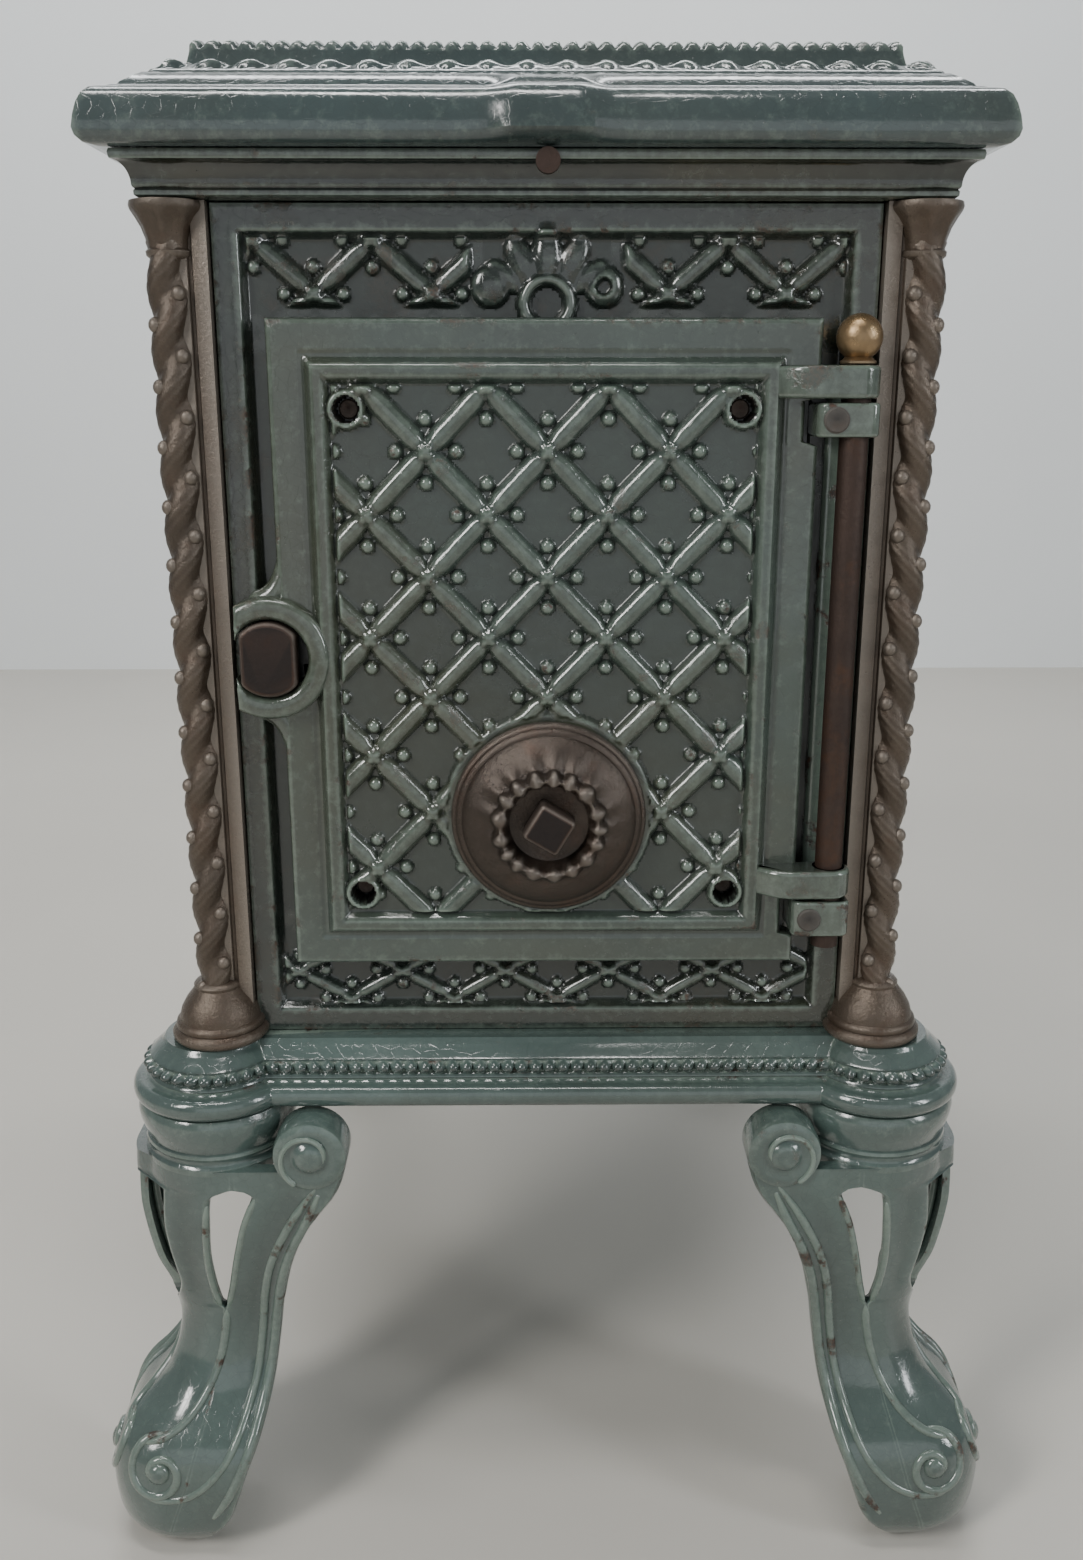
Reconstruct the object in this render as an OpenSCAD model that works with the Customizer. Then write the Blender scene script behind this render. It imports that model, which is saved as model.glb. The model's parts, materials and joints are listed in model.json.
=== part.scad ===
// Small enamelled cast-iron solid-fuel stove on four scroll legs, millimetres.
// Origin: middle of the footprint, on the floor. +X right, +Y to the back, +Z up.
// The fire door faces -Y. Depths named *_out are measured forward from the front panel.

/* [Body] */
// Width of the body over its side panels
body_w = 254; // [210:1:310]
// Depth of the body over its front and rear panels
body_d = 400; // [330:1:480]
// Height of the panels and corner pillars
body_h = 305; // [250:1:370]
// Thickness of the cast panels
panel_t = 9; // [6:0.5:12]
// Width of a corner pillar's square stem
pillar_w = 16.8; // [14:0.2:22]
// Height of the base casting
base_h = 24; // [18:1:32]
// Height of the cornice under the hob
cornice_h = 14; // [12:1:20]
// Height of the hinged top cover
cover_h = 38; // [32:1:48]

/* [Legs] */
// Height of the legs
leg_h = 188; // [160:1:230]
// Wall of the hollow legs
leg_wall = 7; // [5:0.5:9]
// Radius of the ring that carries a body corner
leg_ring_r = 30; // [28:0.5:33]

/* [Door] */
// Distance from the panel's left edge to the door
door_left = 18.2; // [16:0.2:24]
// Distance from the door to the panel's right edge
door_right = 20.1; // [19:0.1:26]
// Distance from the base casting up to the door
door_low = 32.5; // [28:0.5:40]
// Distance from the door up to the cornice
door_high = 37.5; // [30:0.5:44]
// Thickness of the door's flange
door_t = 9; // [7:0.5:12]
// Overlap of the door on the panel round the opening
door_lap = 12; // [9:0.5:14]
// Diameter of the hinge pin
pin_d = 10; // [8:0.5:12]
// Diameter of the ball on the hinge pin
finial_d = 15.6; // [12:0.2:18]
// Diameter of the latch spindle's head
latch_d = 27; // [22:0.5:30]
// Distance across the flats of the latch spindle's head
latch_flats = 20; // [16:0.5:22]

/* [Air regulator] */
// Diameter of the regulator dome
regulator_d = 71.5; // [56:0.5:88]
// Height of the dome's centre above the door's lower edge
regulator_z = 60.5; // [50:0.5:75]
// Diameter of the threaded stem
stem_d = 14; // [10:0.5:18]
// Width of the stem's square end
square_w = 14.3; // [10:0.1:16]

/* [Fire box] */
// Thickness of the liner slabs
liner_t = 15; // [10:1:20]
// Gap between a liner and its panel
liner_gap = 6; // [4:1:10]
// Height of the grate above the base casting
grate_z = 122; // [100:1:150]
// Height of the ash pan
pan_h = 56; // [40:1:80]

/* [Top and flue] */
// Diameter of the cooking hole's lid
lid_d = 130; // [100:1:150]
// Width of the ring round the lid
hob_ring_w = 18; // [12:1:24]
// Outside diameter of the flue spigot
flue_d = 96; // [80:1:110]
// Length of the flue spigot
flue_l = 36; // [24:1:40]
// Distance from the flue's centre up to the cornice
flue_drop = 87; // [60:1:140]

/* [Fits] */
// Gap between pieces of the bolted body
seam = 0.2; // [0.1:0.05:0.5]
// Gap between the body and what moves
gap = 0.4; // [0.3:0.05:0.8]
// Radial clearance of a turning fit
run = 0.05; // [0.02:0.01:0.1]

/* [Hidden] */
$fn = 64;
enamel = "#74877f";
iron = "#4a4038";
dark = "#2e2a27";
far = 400;
eps = 0.01;

// heights and half sizes of the body
hx = body_w / 2;
hy = body_d / 2;
base_z = leg_h;
body_z = base_z + base_h;
top_z = body_z + body_h;
hob_z = top_z + cornice_h;
cover_z = hob_z + gap;
front = -hy;
panel_hx = hx - pillar_w + 4 - seam;      // half width of the front and rear panels
stem_out = 4;                             // how far a pillar's stem stands out of the panels
rod_d = 8;
rod_in = pillar_w / 2 - stem_out;         // tie rod's axis, inside the body's corner
hob_in = rod_in + rod_d / 2 + 0.6;        // edge of the hob's seat, inside the tie rods
hob_y = -body_d / 8;                      // centre of the cooking hole

// legs: ring centre, outside the body's corner
leg_u = 4;
leg_v = -1.5;
toe = 47;                                 // reach of the toe from the ring's centre
plate_t = 8;                              // top plate inside the ring
ring_h = 26;
leg_boss_r = 10.5;                        // round bosses at the ends of the leg's arms
leg_boss_in = 43;
leg_boss_z = leg_h - 15;

// bastions of the base casting
bastion_r = 33;
base_out = 20;                            // straight skirt, outside the panels
base_wall = 7;
floor_t = 7;

// door and its opening
door_x0 = -panel_hx + door_left;
door_x1 = panel_hx - door_right;
door_z0 = body_z + door_low;
door_z1 = top_z - door_high;
door_h = door_z1 - door_z0;
open_x0 = door_x0 + door_lap;
open_x1 = door_x1 - door_lap;
open_z0 = door_z0 + door_lap;
open_z1 = door_z1 - door_lap;
ridge = 15;                               // from the door's edge to its raised frame
ridge_w = 6;
screw_xs = [open_x0 + 15, open_x1 - 15];  // screws that hold the baffle
screw_zs = [open_z0 + 18, open_z1 - 18];
screw_r = 2.5;

// hinge
hinge_x = door_x1 + 11.3;
hinge_y = front - 12;
pin_r = pin_d / 2;
knuckle_r = pin_r + 2.8;
knuckle_h = 11;
lug_arm = 8.7;                            // the lugs' reach past the pin, towards the door
lug_top = 11.5;
lug_low = 14;
knuckle_zs = [door_z0 + 29, door_z1 - 26.5];
lug_hs = [lug_low, lug_top];
lug_zs = [for (i = [0, 1]) knuckle_zs[i] - gap * 3 - lug_hs[i]];
lug_x0 = hinge_x - pin_r - lug_arm;
lug_screw_x = lug_x0 + 6;

// latch
latch_x = door_x0 - 3.5;
latch_z = door_z0 + 119;
latch_collar_r = latch_d / 2 + 8;
latch_shank_d = 12;
tongue_l = 30;
tongue_w = 14;
tongue_t = 6;
notch_clear = 3;
pillar_clear = 2.7;

// air regulator
reg_x = 0.5;
reg_z = door_z0 + regulator_z;
port_r = 27;
boss_r = stem_d / 2 + 5;
seat_out = 13.5;                          // the dome's seat, forward of the panel
reg_turns = 2;
reg_pitch = 3;

// firebox
liner_in = max(panel_t + liner_gap, pillar_w - stem_out + 1);
liner_x = hx - liner_in - liner_t;
liner_y0 = front + panel_t + 22;
liner_y1 = hy - liner_in;
liner_top = top_z - 12;
liner_bolt_y = 110;                       // bolts either side of the middle
liner_bolt_z = body_z + 200;
grate_h = 12;
ledge = 9;
pan_x = liner_x - 6;
pan_y0 = front + 24;
pan_y1 = liner_y1 - liner_t - 8;
pan_wall = 2;

// flue
flue_z = top_z - flue_drop;
flue_wall = 4;
flue_lug_x = flue_d / 2 + 13;

// cover hinge
cover_over = 22;                          // overhang over the front panel
cover_side = 24;                          // overhang over the side panels
cover_wall = 6;
chx = hx + cover_side;
chy = hy + cover_over;
cover_axis_y = chy + 8;
cover_axis_z = cover_z + 9.5;
cover_pin_r = 3;
cover_knuckle_r = 7;
bracket_x = chx - 60;
knuckle_w = 14;                           // the cover's two knuckles
knuckle_xs = [-bracket_x - knuckle_w, bracket_x];

// ---- helpers ------------------------------------------------------------

// points of a smooth curve through p, n steps between neighbours
function smooth(p, n = 5) = concat([for (i = [0 : len(p) - 2]) for (k = [0 : n - 1])
    let (t = k / n, a = p[max(i - 1, 0)], b = p[i], c = p[i + 1], d = p[min(i + 2, len(p) - 1)])
    0.5 * (2 * b + (c - a) * t + (2 * a - 5 * b + 4 * c - d) * t * t
        + (3 * b - a - 3 * c + d) * t * t * t)], [p[len(p) - 1]]);

// children carried from the corner at (+hx, +hy) to another corner
module corner(sx, sy) {
    mirror([sx < 0 ? 1 : 0, 0, 0])
        mirror([0, sy < 0 ? 1 : 0, 0])
            translate([hx, hy, 0]) children();
}

module corners() {
    for (sx = [-1, 1]) for (sy = [-1, 1]) corner(sx, sy) children();
}

module box(x0, x1, y0, y1, z0, z1) {
    translate([x0, y0, z0]) cube([x1 - x0, y1 - y0, z1 - z0]);
}

// cylinder along Y, from y0 to y1
module rod_y(x, z, r, y0, y1) {
    translate([x, y0, z]) rotate([-90, 0, 0]) cylinder(r = r, h = y1 - y0);
}

// cylinder along X, from x0 to x1
module rod_x(y, z, r, x0, x1) {
    translate([x0, y, z]) rotate([0, 90, 0]) cylinder(r = r, h = x1 - x0);
}

// rectangular block whose four sides all have the profile p, given as [outset, height]
module moulded(ax, ay, p) {
    module side(a) {
        polygon(concat([for (q = p) [a + q[0], q[1]]],
            [for (i = [len(p) - 1 : -1 : 0]) [-a - p[i][0], p[i][1]]]));
    }
    intersection() {
        rotate([90, 0, 0]) linear_extrude(2 * ay + far, center = true) side(ax);
        rotate([90, 0, 90]) linear_extrude(2 * ax + far, center = true) side(ay);
    }
}

// plan of the base: a straight skirt with a round bastion at each corner
module base_plan(inset) {
    square([2 * (hx + base_out - inset), 2 * (hy + base_out - inset)], center = true);
    for (sx = [-1, 1]) for (sy = [-1, 1])
        translate([sx * (hx + leg_u), sy * (hy + leg_v)]) circle(r = bastion_r - inset);
}

// ---- legs ---------------------------------------------------------------

// outline of a leg seen square-on: outer edge, then the toe, then the inner edge
leg_outer = [[leg_ring_r - 1, leg_h - 14], [28, 132], [24, 111], [20.5, 88], [23, 71], [32, 58.5],
    [42, 50], [toe, 34], [toe - 1.5, 18], [toe - 8, 4], [toe - 13, 0]];
leg_inner = [[0, 0], [-6, 17], [-12, 40], [-19, 65], [-24, 92], [-29, 120], [-36, 138],
    [-48, 155], [-53, 170], [-50, 181]];

module leg_side(inset) {
    polygon(concat(inset > 0 ? [[leg_ring_r - 1 - inset, leg_h - plate_t]] : [[leg_ring_r - 1, leg_h]],
        [for (q = smooth(leg_outer)) [q[0] - inset, q[1]]],
        inset > 0 ? [[-far, -1], [-far, leg_h - plate_t]] : concat(smooth(leg_inner), [[-50, leg_h]])));
}

module leg_window() {
    polygon(smooth([[-15, 156], [-16.5, 152], [-9, 133], [-4.5, 112], [-0.5, 99], [1.5, 112],
        [1.5, 140], [0, 153], [-8, 156.5]]));
}

// one leg in the corner's frame, its ring on the axis
module leg() {
    module along_v() {
        rotate([90, 0, 0]) linear_extrude(far, center = true) children();
    }
    module along_u() {
        rotate([90, 0, 90]) linear_extrude(far, center = true) children();
    }
    difference() {
        union() {
            difference() {
                intersection() {
                    along_v() leg_side(0);
                    along_u() leg_side(0);
                    rotate([0, 0, 45]) along_v()
                        polygon([for (q = concat(smooth(leg_outer), [[-far, 0], [-far, leg_h]]))
                            [q[0] * sqrt(2) - 8, q[1]]]);
                }
                intersection() {
                    along_v() leg_side(leg_wall);
                    along_u() leg_side(leg_wall);
                    translate([0, 0, 70 + leg_h / 2]) cube([far, far, leg_h], center = true);
                }
                translate([0, leg_ring_r, 0]) intersection() {
                    along_v() leg_window();
                    translate([-far / 2, -leg_ring_r, 0]) cube([far, far, leg_h]);
                }
                translate([leg_ring_r, 0, 0]) intersection() {
                    along_u() leg_window();
                    translate([-leg_ring_r, -far / 2, 0]) cube([far, far, leg_h]);
                }
            }
            translate([0, 0, leg_h - ring_h]) difference() {
                cylinder(r = leg_ring_r, h = ring_h);
                translate([0, 0, -1]) cylinder(r = leg_ring_r - leg_wall, h = ring_h - plate_t + 1);
            }
            rod_y(-leg_boss_in, leg_boss_z, leg_boss_r, leg_ring_r - 9, leg_ring_r - 1);
            rod_x(-leg_boss_in, leg_boss_z, leg_boss_r, leg_ring_r - 9, leg_ring_r - 1);
        }
        translate([-leg_u - rod_in, -leg_v - rod_in, leg_h - plate_t - 1])
            cylinder(d = rod_d + 1, h = plate_t + 2);
        translate([0, 0, leg_h]) cylinder(r = far, h = 10);
    }
}

module leg_at(sx, sy) {
    color(enamel) corner(sx, sy) translate([leg_u, leg_v, 0]) leg();
}

module front_left_leg() {
    leg_at(-1, -1);
}

module front_right_leg() {
    leg_at(1, -1);
}

module rear_left_leg() {
    leg_at(-1, 1);
}

module rear_right_leg() {
    leg_at(1, 1);
}

// ---- body ---------------------------------------------------------------

module base_frame() {
    color(enamel) difference() {
        union() {
            translate([0, 0, base_z]) linear_extrude(10) base_plan(0);
            translate([0, 0, base_z + 10]) linear_extrude(8) base_plan(6);
            translate([0, 0, base_z + 18]) linear_extrude(base_h - 18) base_plan(13);
        }
        translate([0, 0, base_z + (base_h - floor_t) / 2]) cube([2 * (hx - pillar_w - base_wall),
            2 * (hy + base_out - base_wall), base_h - floor_t + eps], center = true);
        corners() translate([-rod_in, -rod_in, base_z - 1]) cylinder(d = rod_d + 1, h = base_h + 2);
    }
}

// round shaft profile, [radius, height], for the pillar's turned foot and capital
module pillar_foot() {
    rotate_extrude() polygon(concat([[0, body_z], [18, body_z]],
        [for (a = [-90 : 30 : 90]) [17 + cos(a) * 1.5, body_z + 2.5 + sin(a) * 2]],
        smooth([[16.5, body_z + 5], [15.5, body_z + 10], [12.5, body_z + 15], [8.5, body_z + 20]]),
        [[0, body_z + 24]]));
}

module pillar_capital() {
    rotate_extrude() polygon(concat([[0, top_z - 20]],
        smooth([[7, top_z - 18], [8, top_z - 11], [10.5, top_z - 5], [12, top_z - 3]]),
        [[12, top_z], [0, top_z]]));
}

// corner pillar: square stem with a round column on its outer corner
module pillar(sx, sy) {
    color(iron) corner(sx, sy) difference() {
        union() {
            translate([stem_out - pillar_w, stem_out - pillar_w, body_z]) cube([pillar_w, pillar_w, body_h]);
            translate([1.5, 1.5, body_z]) cylinder(r = 7, h = body_h);
            intersection() {
                translate([1, 1, 0]) {
                    pillar_foot();
                    pillar_capital();
                }
                union() {
                    translate([-far, seam, 0]) cube([2 * far, far, far * 2]);
                    translate([seam, -far, 0]) cube([far, 2 * far, far * 2]);
                    translate([stem_out - pillar_w, stem_out - pillar_w, 0])
                        cube([pillar_w, pillar_w, far * 2]);
                }
            }
        }
        translate([-rod_in, -rod_in, body_z - 1]) cylinder(d = rod_d + 1, h = body_h + 2);
    }
}

module front_left_pillar() {
    pillar(-1, -1);
}

module front_right_pillar() {
    pillar(1, -1);
}

module rear_left_pillar() {
    pillar(-1, 1);
}

module rear_right_pillar() {
    pillar(1, 1);
}

// panel in the XZ plane with a raised border; its outer face looks to -Y at y = 0
module bordered(half_w, recess) {
    difference() {
        box(-half_w, half_w, 0, panel_t, body_z + seam, top_z - seam);
        box(-half_w + 10, half_w - 10, -1, recess, body_z + 10, top_z - 12);
    }
}

module front_panel() {
    color(enamel) difference() {
        union() {
            translate([0, front, 0]) bordered(panel_hx, 4);
            box(door_x0 + 2, door_x1 - 2, front, front + panel_t, door_z0 + 2, door_z1 - 2);
            for (i = [0, 1]) translate([0, 0, lug_zs[i]]) linear_extrude(lug_hs[i]) {
                translate([lug_x0, hinge_y]) square([hinge_x + knuckle_r - lug_x0, front - hinge_y + 5]);
                translate([lug_x0 + 4, hinge_y - 6.5]) square([hinge_x + knuckle_r - lug_x0 - 8, 7]);
                translate([lug_x0 + 4, hinge_y - 2.5]) circle(r = 4);
                translate([hinge_x + knuckle_r - 4, hinge_y - 2.5]) circle(r = 4);
            }
            box(panel_hx - 16, panel_hx - 9, front, front + panel_t, lug_zs[0] - 2, lug_zs[1] + lug_top + 2);
        }
        box(open_x0, open_x1, front - 1, front + panel_t + 1, open_z0, open_z1);
        box(latch_x - tongue_w / 2 - notch_clear, open_x0 + 1, front - 1, front + panel_t + 1,
            latch_z - tongue_w / 2 - notch_clear, latch_z + tongue_w / 2 + notch_clear);
        translate([hinge_x, hinge_y, door_z0 - 5]) cylinder(r = pin_r + run, h = door_h);
        for (i = [0, 1]) rod_y(lug_screw_x, lug_zs[i] + lug_hs[i] / 2, 2.5, hinge_y - 9, hinge_y - 1);
    }
}

module lug_screws() {
    color(dark) for (i = [0, 1])
        rod_y(lug_screw_x, lug_zs[i] + lug_hs[i] / 2, 2.4, hinge_y - 6, hinge_y - 1.1);
}

module rear_panel() {
    color(enamel) difference() {
        translate([0, hy, 0]) rotate([0, 0, 180]) bordered(panel_hx, 3);
        rod_y(0, flue_z, flue_d / 2 - flue_wall, hy - panel_t - 1, hy + 1);
        for (s = [-1, 1]) rod_y(s * flue_lug_x, flue_z, 3.5, hy - panel_t - 1, hy + 1);
    }
}

module side_panel(s) {
    half = hy - pillar_w + stem_out - seam;
    color(enamel) difference() {
        rotate([0, 0, s * 90]) translate([0, -hx, 0]) bordered(half, 3);
        for (k = [-1, 1]) rod_x(k * liner_bolt_y, liner_bolt_z, 3.5,
            min(s * (hx - panel_t - 1), s * (hx + 1)), max(s * (hx - panel_t - 1), s * (hx + 1)));
    }
}

module left_side_panel() {
    side_panel(-1);
}

module right_side_panel() {
    side_panel(1);
}

module tie_rods() {
    color(dark) corners() translate([-rod_in, -rod_in, 0]) {
        translate([0, 0, base_z - plate_t - 9]) cylinder(d = rod_d, h = hob_z - base_z + plate_t + 9);
        translate([0, 0, hob_z]) cylinder(d = 14, h = 5, $fn = 6);
    }
}

module tie_rod_nuts() {
    color(dark) corners() translate([-rod_in, -rod_in, base_z - plate_t - 6.5]) difference() {
        cylinder(d = 15, h = 6.5, $fn = 6);
        translate([0, 0, -1]) cylinder(d = rod_d + 2 * run, h = 9);
    }
}

// ---- top ----------------------------------------------------------------

module cornice() {
    cove = [for (a = [0 : 15 : 90]) [15 - 6 * cos(a), top_z + 3 + (cornice_h - 5) * sin(a)]];
    color(enamel) difference() {
        moulded(hx, hy, concat([[9, top_z], [9, top_z + 3]], cove, [[15, hob_z]]));
        cube([2 * (hx - hob_in - 8), 2 * (hy - hob_in - 8), far * 4], center = true);
        translate([0, 0, top_z + 5 + far / 2])
            cube([2 * (hx - hob_in), 2 * (hy - hob_in), far], center = true);
        corners() translate([-rod_in, -rod_in, top_z - 1]) cylinder(d = rod_d + 1, h = cornice_h + 2);
        rod_y(0, hob_z - 4, 2.2, front - 20, front + 20);
    }
}

module cornice_bolt() {
    color(dark) {
        rod_y(0, hob_z - 4, 2.1, front - 16, front + 6);
        rod_y(0, hob_z - 4, 4, front - 19, front - 16);
    }
}

module hob_plate() {
    color(iron) difference() {
        box(-hx + hob_in + seam, hx - hob_in - seam, -hy + hob_in + seam, hy - hob_in - seam,
            top_z + 5, hob_z - 1);
        translate([0, hob_y, 0]) {
            cylinder(d = lid_d + 2 * hob_ring_w - 10, h = far * 2);
            translate([0, 0, hob_z - 1 - 4]) cylinder(d = lid_d + 2 * hob_ring_w + 2 * gap, h = far);
        }
    }
}

module hob_ring() {
    color(iron) translate([0, hob_y, hob_z - 5]) difference() {
        cylinder(d = lid_d + 2 * hob_ring_w, h = 4);
        translate([0, 0, -1]) cylinder(d = lid_d - 10, h = 9);
        translate([0, 0, 2]) cylinder(d = lid_d + 2 * gap, h = 9);
    }
}

module hob_lid() {
    color(iron) translate([0, hob_y, hob_z - 3]) difference() {
        union() {
            cylinder(d = lid_d, h = 2);
            translate([0, 0, -2]) cylinder(d = lid_d - 12, h = 2);
        }
        translate([lid_d / 2 - 18, 0, 0.5]) cube([20, 9, 3], center = true);
    }
}

module top_cover() {
    z1 = cover_z + cover_h;
    outside = [[-8, cover_z], [-8, cover_z + 1.8], [-1.5, cover_z + 2.2], [0, cover_z + 4],
        [0, cover_z + 15], [-3, cover_z + 17.5], [-9, cover_z + 18.5], [-10, cover_z + 21],
        [-31, z1 - 2], [-33, z1], [-38, z1]];
    inside = [[-8 - cover_wall, cover_z - 1], [-8 - cover_wall, cover_z + 2],
        [-cover_wall, cover_z + 6], [-cover_wall, cover_z + 11], [-38, z1 - 10]];
    color(enamel) difference() {
        union() {
            moulded(chx, chy, outside);
            box(-15, 15, -chy - 3, -chy + 8, cover_z + 2, cover_z + 17);
            for (x = knuckle_xs) rod_x(cover_axis_y, cover_axis_z, cover_knuckle_r, x, x + knuckle_w);
            for (x = knuckle_xs)
                box(x, x + knuckle_w, chy - 3, cover_axis_y, cover_axis_z - 5, cover_axis_z + 5);
        }
        moulded(chx, chy, inside);
        translate([0, 0, z1]) cube([2 * (chx - 46), 2 * (chy - 46), 8], center = true);
        for (x = knuckle_xs)
            rod_x(cover_axis_y, cover_axis_z, cover_pin_r + run, x - 5, x + knuckle_w + 5);
    }
}

// fixed half of each cover hinge, bolted to the back of the cornice
module cover_brackets() {
    color(dark) for (k = knuckle_xs) for (x = [k - 6 - gap, k + knuckle_w + 6 + gap])
        difference() {
            union() {
                box(x - 5, x + 5, hy + 15, cover_axis_y + 7, top_z + cornice_h - 11, hob_z - 1);
                box(x - 5, x + 5, chy + 1.4, cover_axis_y + 7, hob_z - 2, cover_axis_z);
                rod_x(cover_axis_y, cover_axis_z, 6.6, x - 5, x + 5);
            }
            rod_x(cover_axis_y, cover_axis_z, cover_pin_r + run, x - 6, x + 6);
        }
}

module cover_pins() {
    color(dark) for (x = knuckle_xs)
        rod_x(cover_axis_y, cover_axis_z, cover_pin_r, x - 13, x + knuckle_w + 13);
}

// ---- door ---------------------------------------------------------------

module door() {
    y0 = front - gap - door_t;
    y1 = front - gap;
    // raised frame stands 4 proud of the flange, the field inside it 2 proud
    color(enamel) difference() {
        union() {
            box(door_x0, door_x1, y0, y1, door_z0, door_z1);
            difference() {
                box(door_x0 + ridge, door_x1 - ridge, y0 - 4, y1, door_z0 + ridge, door_z1 - ridge);
                box(door_x0 + ridge + ridge_w, door_x1 - ridge - ridge_w, y0 - 5, y0 - 1,
                    door_z0 + ridge + ridge_w, door_z1 - ridge - ridge_w);
            }
            rod_y(reg_x, reg_z, regulator_d / 2 + 3, front - seat_out, y1);
            rod_y(latch_x, latch_z, latch_collar_r, y0 - 6, y1);
            for (z = knuckle_zs) translate([0, 0, z]) linear_extrude(knuckle_h) {
                translate([hinge_x, hinge_y]) circle(r = knuckle_r);
                translate([door_x1 - ridge - 4, hinge_y - knuckle_r])
                    square([hinge_x - door_x1 + ridge + 4, 2 * knuckle_r - 1]);
            }
            for (x = screw_xs) for (z = screw_zs)
                rod_y(x, z, 7, front - seat_out, y1);
        }
        rod_y(latch_x, latch_z, latch_d / 2 + run, y0 - 9, y0 + 3);
        rod_y(latch_x, latch_z, latch_shank_d / 2 + run, y0 - 9, y1 + 1);
        // the collar is cut off square, clear of the corner pillar
        box(-far, -panel_hx + pillar_clear, y0 - 9, y1 + 1, latch_z - far, latch_z + far);
        // notches for the panel's lugs
        for (i = [0, 1])
            box(lug_x0 - 2.6, far, y0 - 6, y1 + 1, lug_zs[i] - 1.5, lug_zs[i] + lug_hs[i] + gap);
        // air ports round the stem's boss
        difference() {
            rod_y(reg_x, reg_z, port_r, front - far, y1 + 1);
            rod_y(reg_x, reg_z, boss_r, front - seat_out + 4, y1);
            for (a = [45, 135]) translate([reg_x, 0, reg_z]) rotate([0, a, 0])
                box(-port_r - 1, port_r + 1, front - seat_out + 4, y1, -3, 3);
        }
        rod_y(reg_x, reg_z, stem_d / 2 + run, front - far, y1 + 1);
        translate([hinge_x, hinge_y, 0]) cylinder(r = pin_r + run, h = far * 2);
        for (x = screw_xs) for (z = screw_zs) {
            rod_y(x, z, 4.3, front - seat_out - 1, y0 + 1);
            rod_y(x, z, screw_r + 0.1, front - far, y1 + 1);
        }
    }
}

module door_baffle() {
    color(dark) difference() {
        box(open_x0 + 6, open_x1 - 8, front + 8, front + 12, open_z0 + 10, open_z1 - 10);
        rod_y(reg_x, reg_z, 22, front, front + 20);
        box(latch_x - far, latch_x + tongue_l + 6, front, front + 20, latch_z - tongue_l - 6, latch_z + 12);
        for (x = screw_xs) for (z = screw_zs)
            rod_y(x, z, screw_r + 0.1, front, front + 20);
    }
}

module baffle_screws() {
    color(dark) for (x = screw_xs) for (z = screw_zs) {
        rod_y(x, z, screw_r, front - gap - door_t, front + 18);
        rod_y(x, z, 4.1, front - gap - door_t - 1, front - gap - door_t + 1);
    }
}

// spacing tubes and nuts behind the door
module baffle_nuts() {
    color(dark) for (x = screw_xs) for (z = screw_zs)
        difference() {
            union() {
                rod_y(x, z, 4.5, front - gap, front + 8);
                translate([x, front + 12, z]) rotate([-90, 0, 0]) cylinder(d = 10, h = 4, $fn = 6);
            }
            rod_y(x, z, screw_r + run, front - 2, front + 20);
        }
}

module hinge_pin() {
    color(dark) translate([hinge_x, hinge_y, lug_zs[0] - 5])
        cylinder(r = pin_r, h = knuckle_zs[1] + knuckle_h - lug_zs[0] + 5);
}

module hinge_finial() {
    z0 = knuckle_zs[1] + knuckle_h;
    color("#a98c5c") translate([hinge_x, hinge_y, 0]) {
        translate([0, 0, z0]) cylinder(r = pin_r, h = gap);
        translate([0, 0, z0 + gap]) cylinder(d = finial_d - 3, h = 2.4);
        translate([0, 0, z0 + gap + finial_d / 2 + 0.8]) sphere(d = finial_d);
    }
}

module latch_spindle() {
    y0 = front - gap - door_t;
    color(dark) {
        intersection() {
            rod_y(latch_x, latch_z, latch_d / 2, y0 - 7, y0 + 3);
            box(latch_x - latch_flats / 2, latch_x + latch_flats / 2, y0 - 8, y0 + 4,
                latch_z - far, latch_z + far);
        }
        rod_y(latch_x, latch_z, latch_shank_d / 2, y0 + 3, front + panel_t + 1.5);
        rod_y(latch_x, latch_z, 4, front + panel_t + 1.5, front + panel_t + tongue_t + 12);
    }
}

// the tongue points into the opening when it is free, and down behind the panel when it holds
module latch_tongue() {
    y0 = front + panel_t + 1.5;
    color(dark) difference() {
        union() {
            rod_y(latch_x, latch_z, tongue_w / 2, y0, y0 + tongue_t);
            box(latch_x, latch_x + tongue_l, y0, y0 + tongue_t,
                latch_z - tongue_w / 2, latch_z + tongue_w / 2);
        }
        rod_y(latch_x, latch_z, 4 + run, y0 - 1, y0 + tongue_t + 1);
    }
}

module latch_nut() {
    y0 = front + panel_t + 1.5 + tongue_t;
    color(dark) difference() {
        translate([latch_x, y0, latch_z]) rotate([-90, 0, 0]) cylinder(d = 13, h = 5, $fn = 6);
        rod_y(latch_x, latch_z, 4 + run, y0 - 1, y0 + 9);
    }
}

// ---- air regulator ------------------------------------------------------

module regulator_dome() {
    r = regulator_d / 2;
    // profile from the rim to the hub, [radius, height above the seat]
    color(iron) translate([reg_x, front - seat_out - gap, reg_z]) rotate([90, 0, 0]) difference() {
        rotate_extrude() polygon(concat([[0, 0], [r, 0], [r, 3], [r - 2, 4.5], [r - 5, 5]],
            smooth([[r - 6, 6], [r - 11, 10], [r - 16, 12.5], [20, 13.5]]),
            [for (a = [0 : 30 : 180]) [17.3 + 2.7 * cos(a), 15 + 3.5 * sin(a)]],
            [[14.6, 9], [0, 9]]));
        translate([0, 0, -1]) cylinder(r = stem_d / 2 + run, h = 20);
        difference() {
            translate([0, 0, -1]) cylinder(r = r - 6, h = 5);
            cylinder(r = boss_r, h = 6);
        }
    }
}

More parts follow.
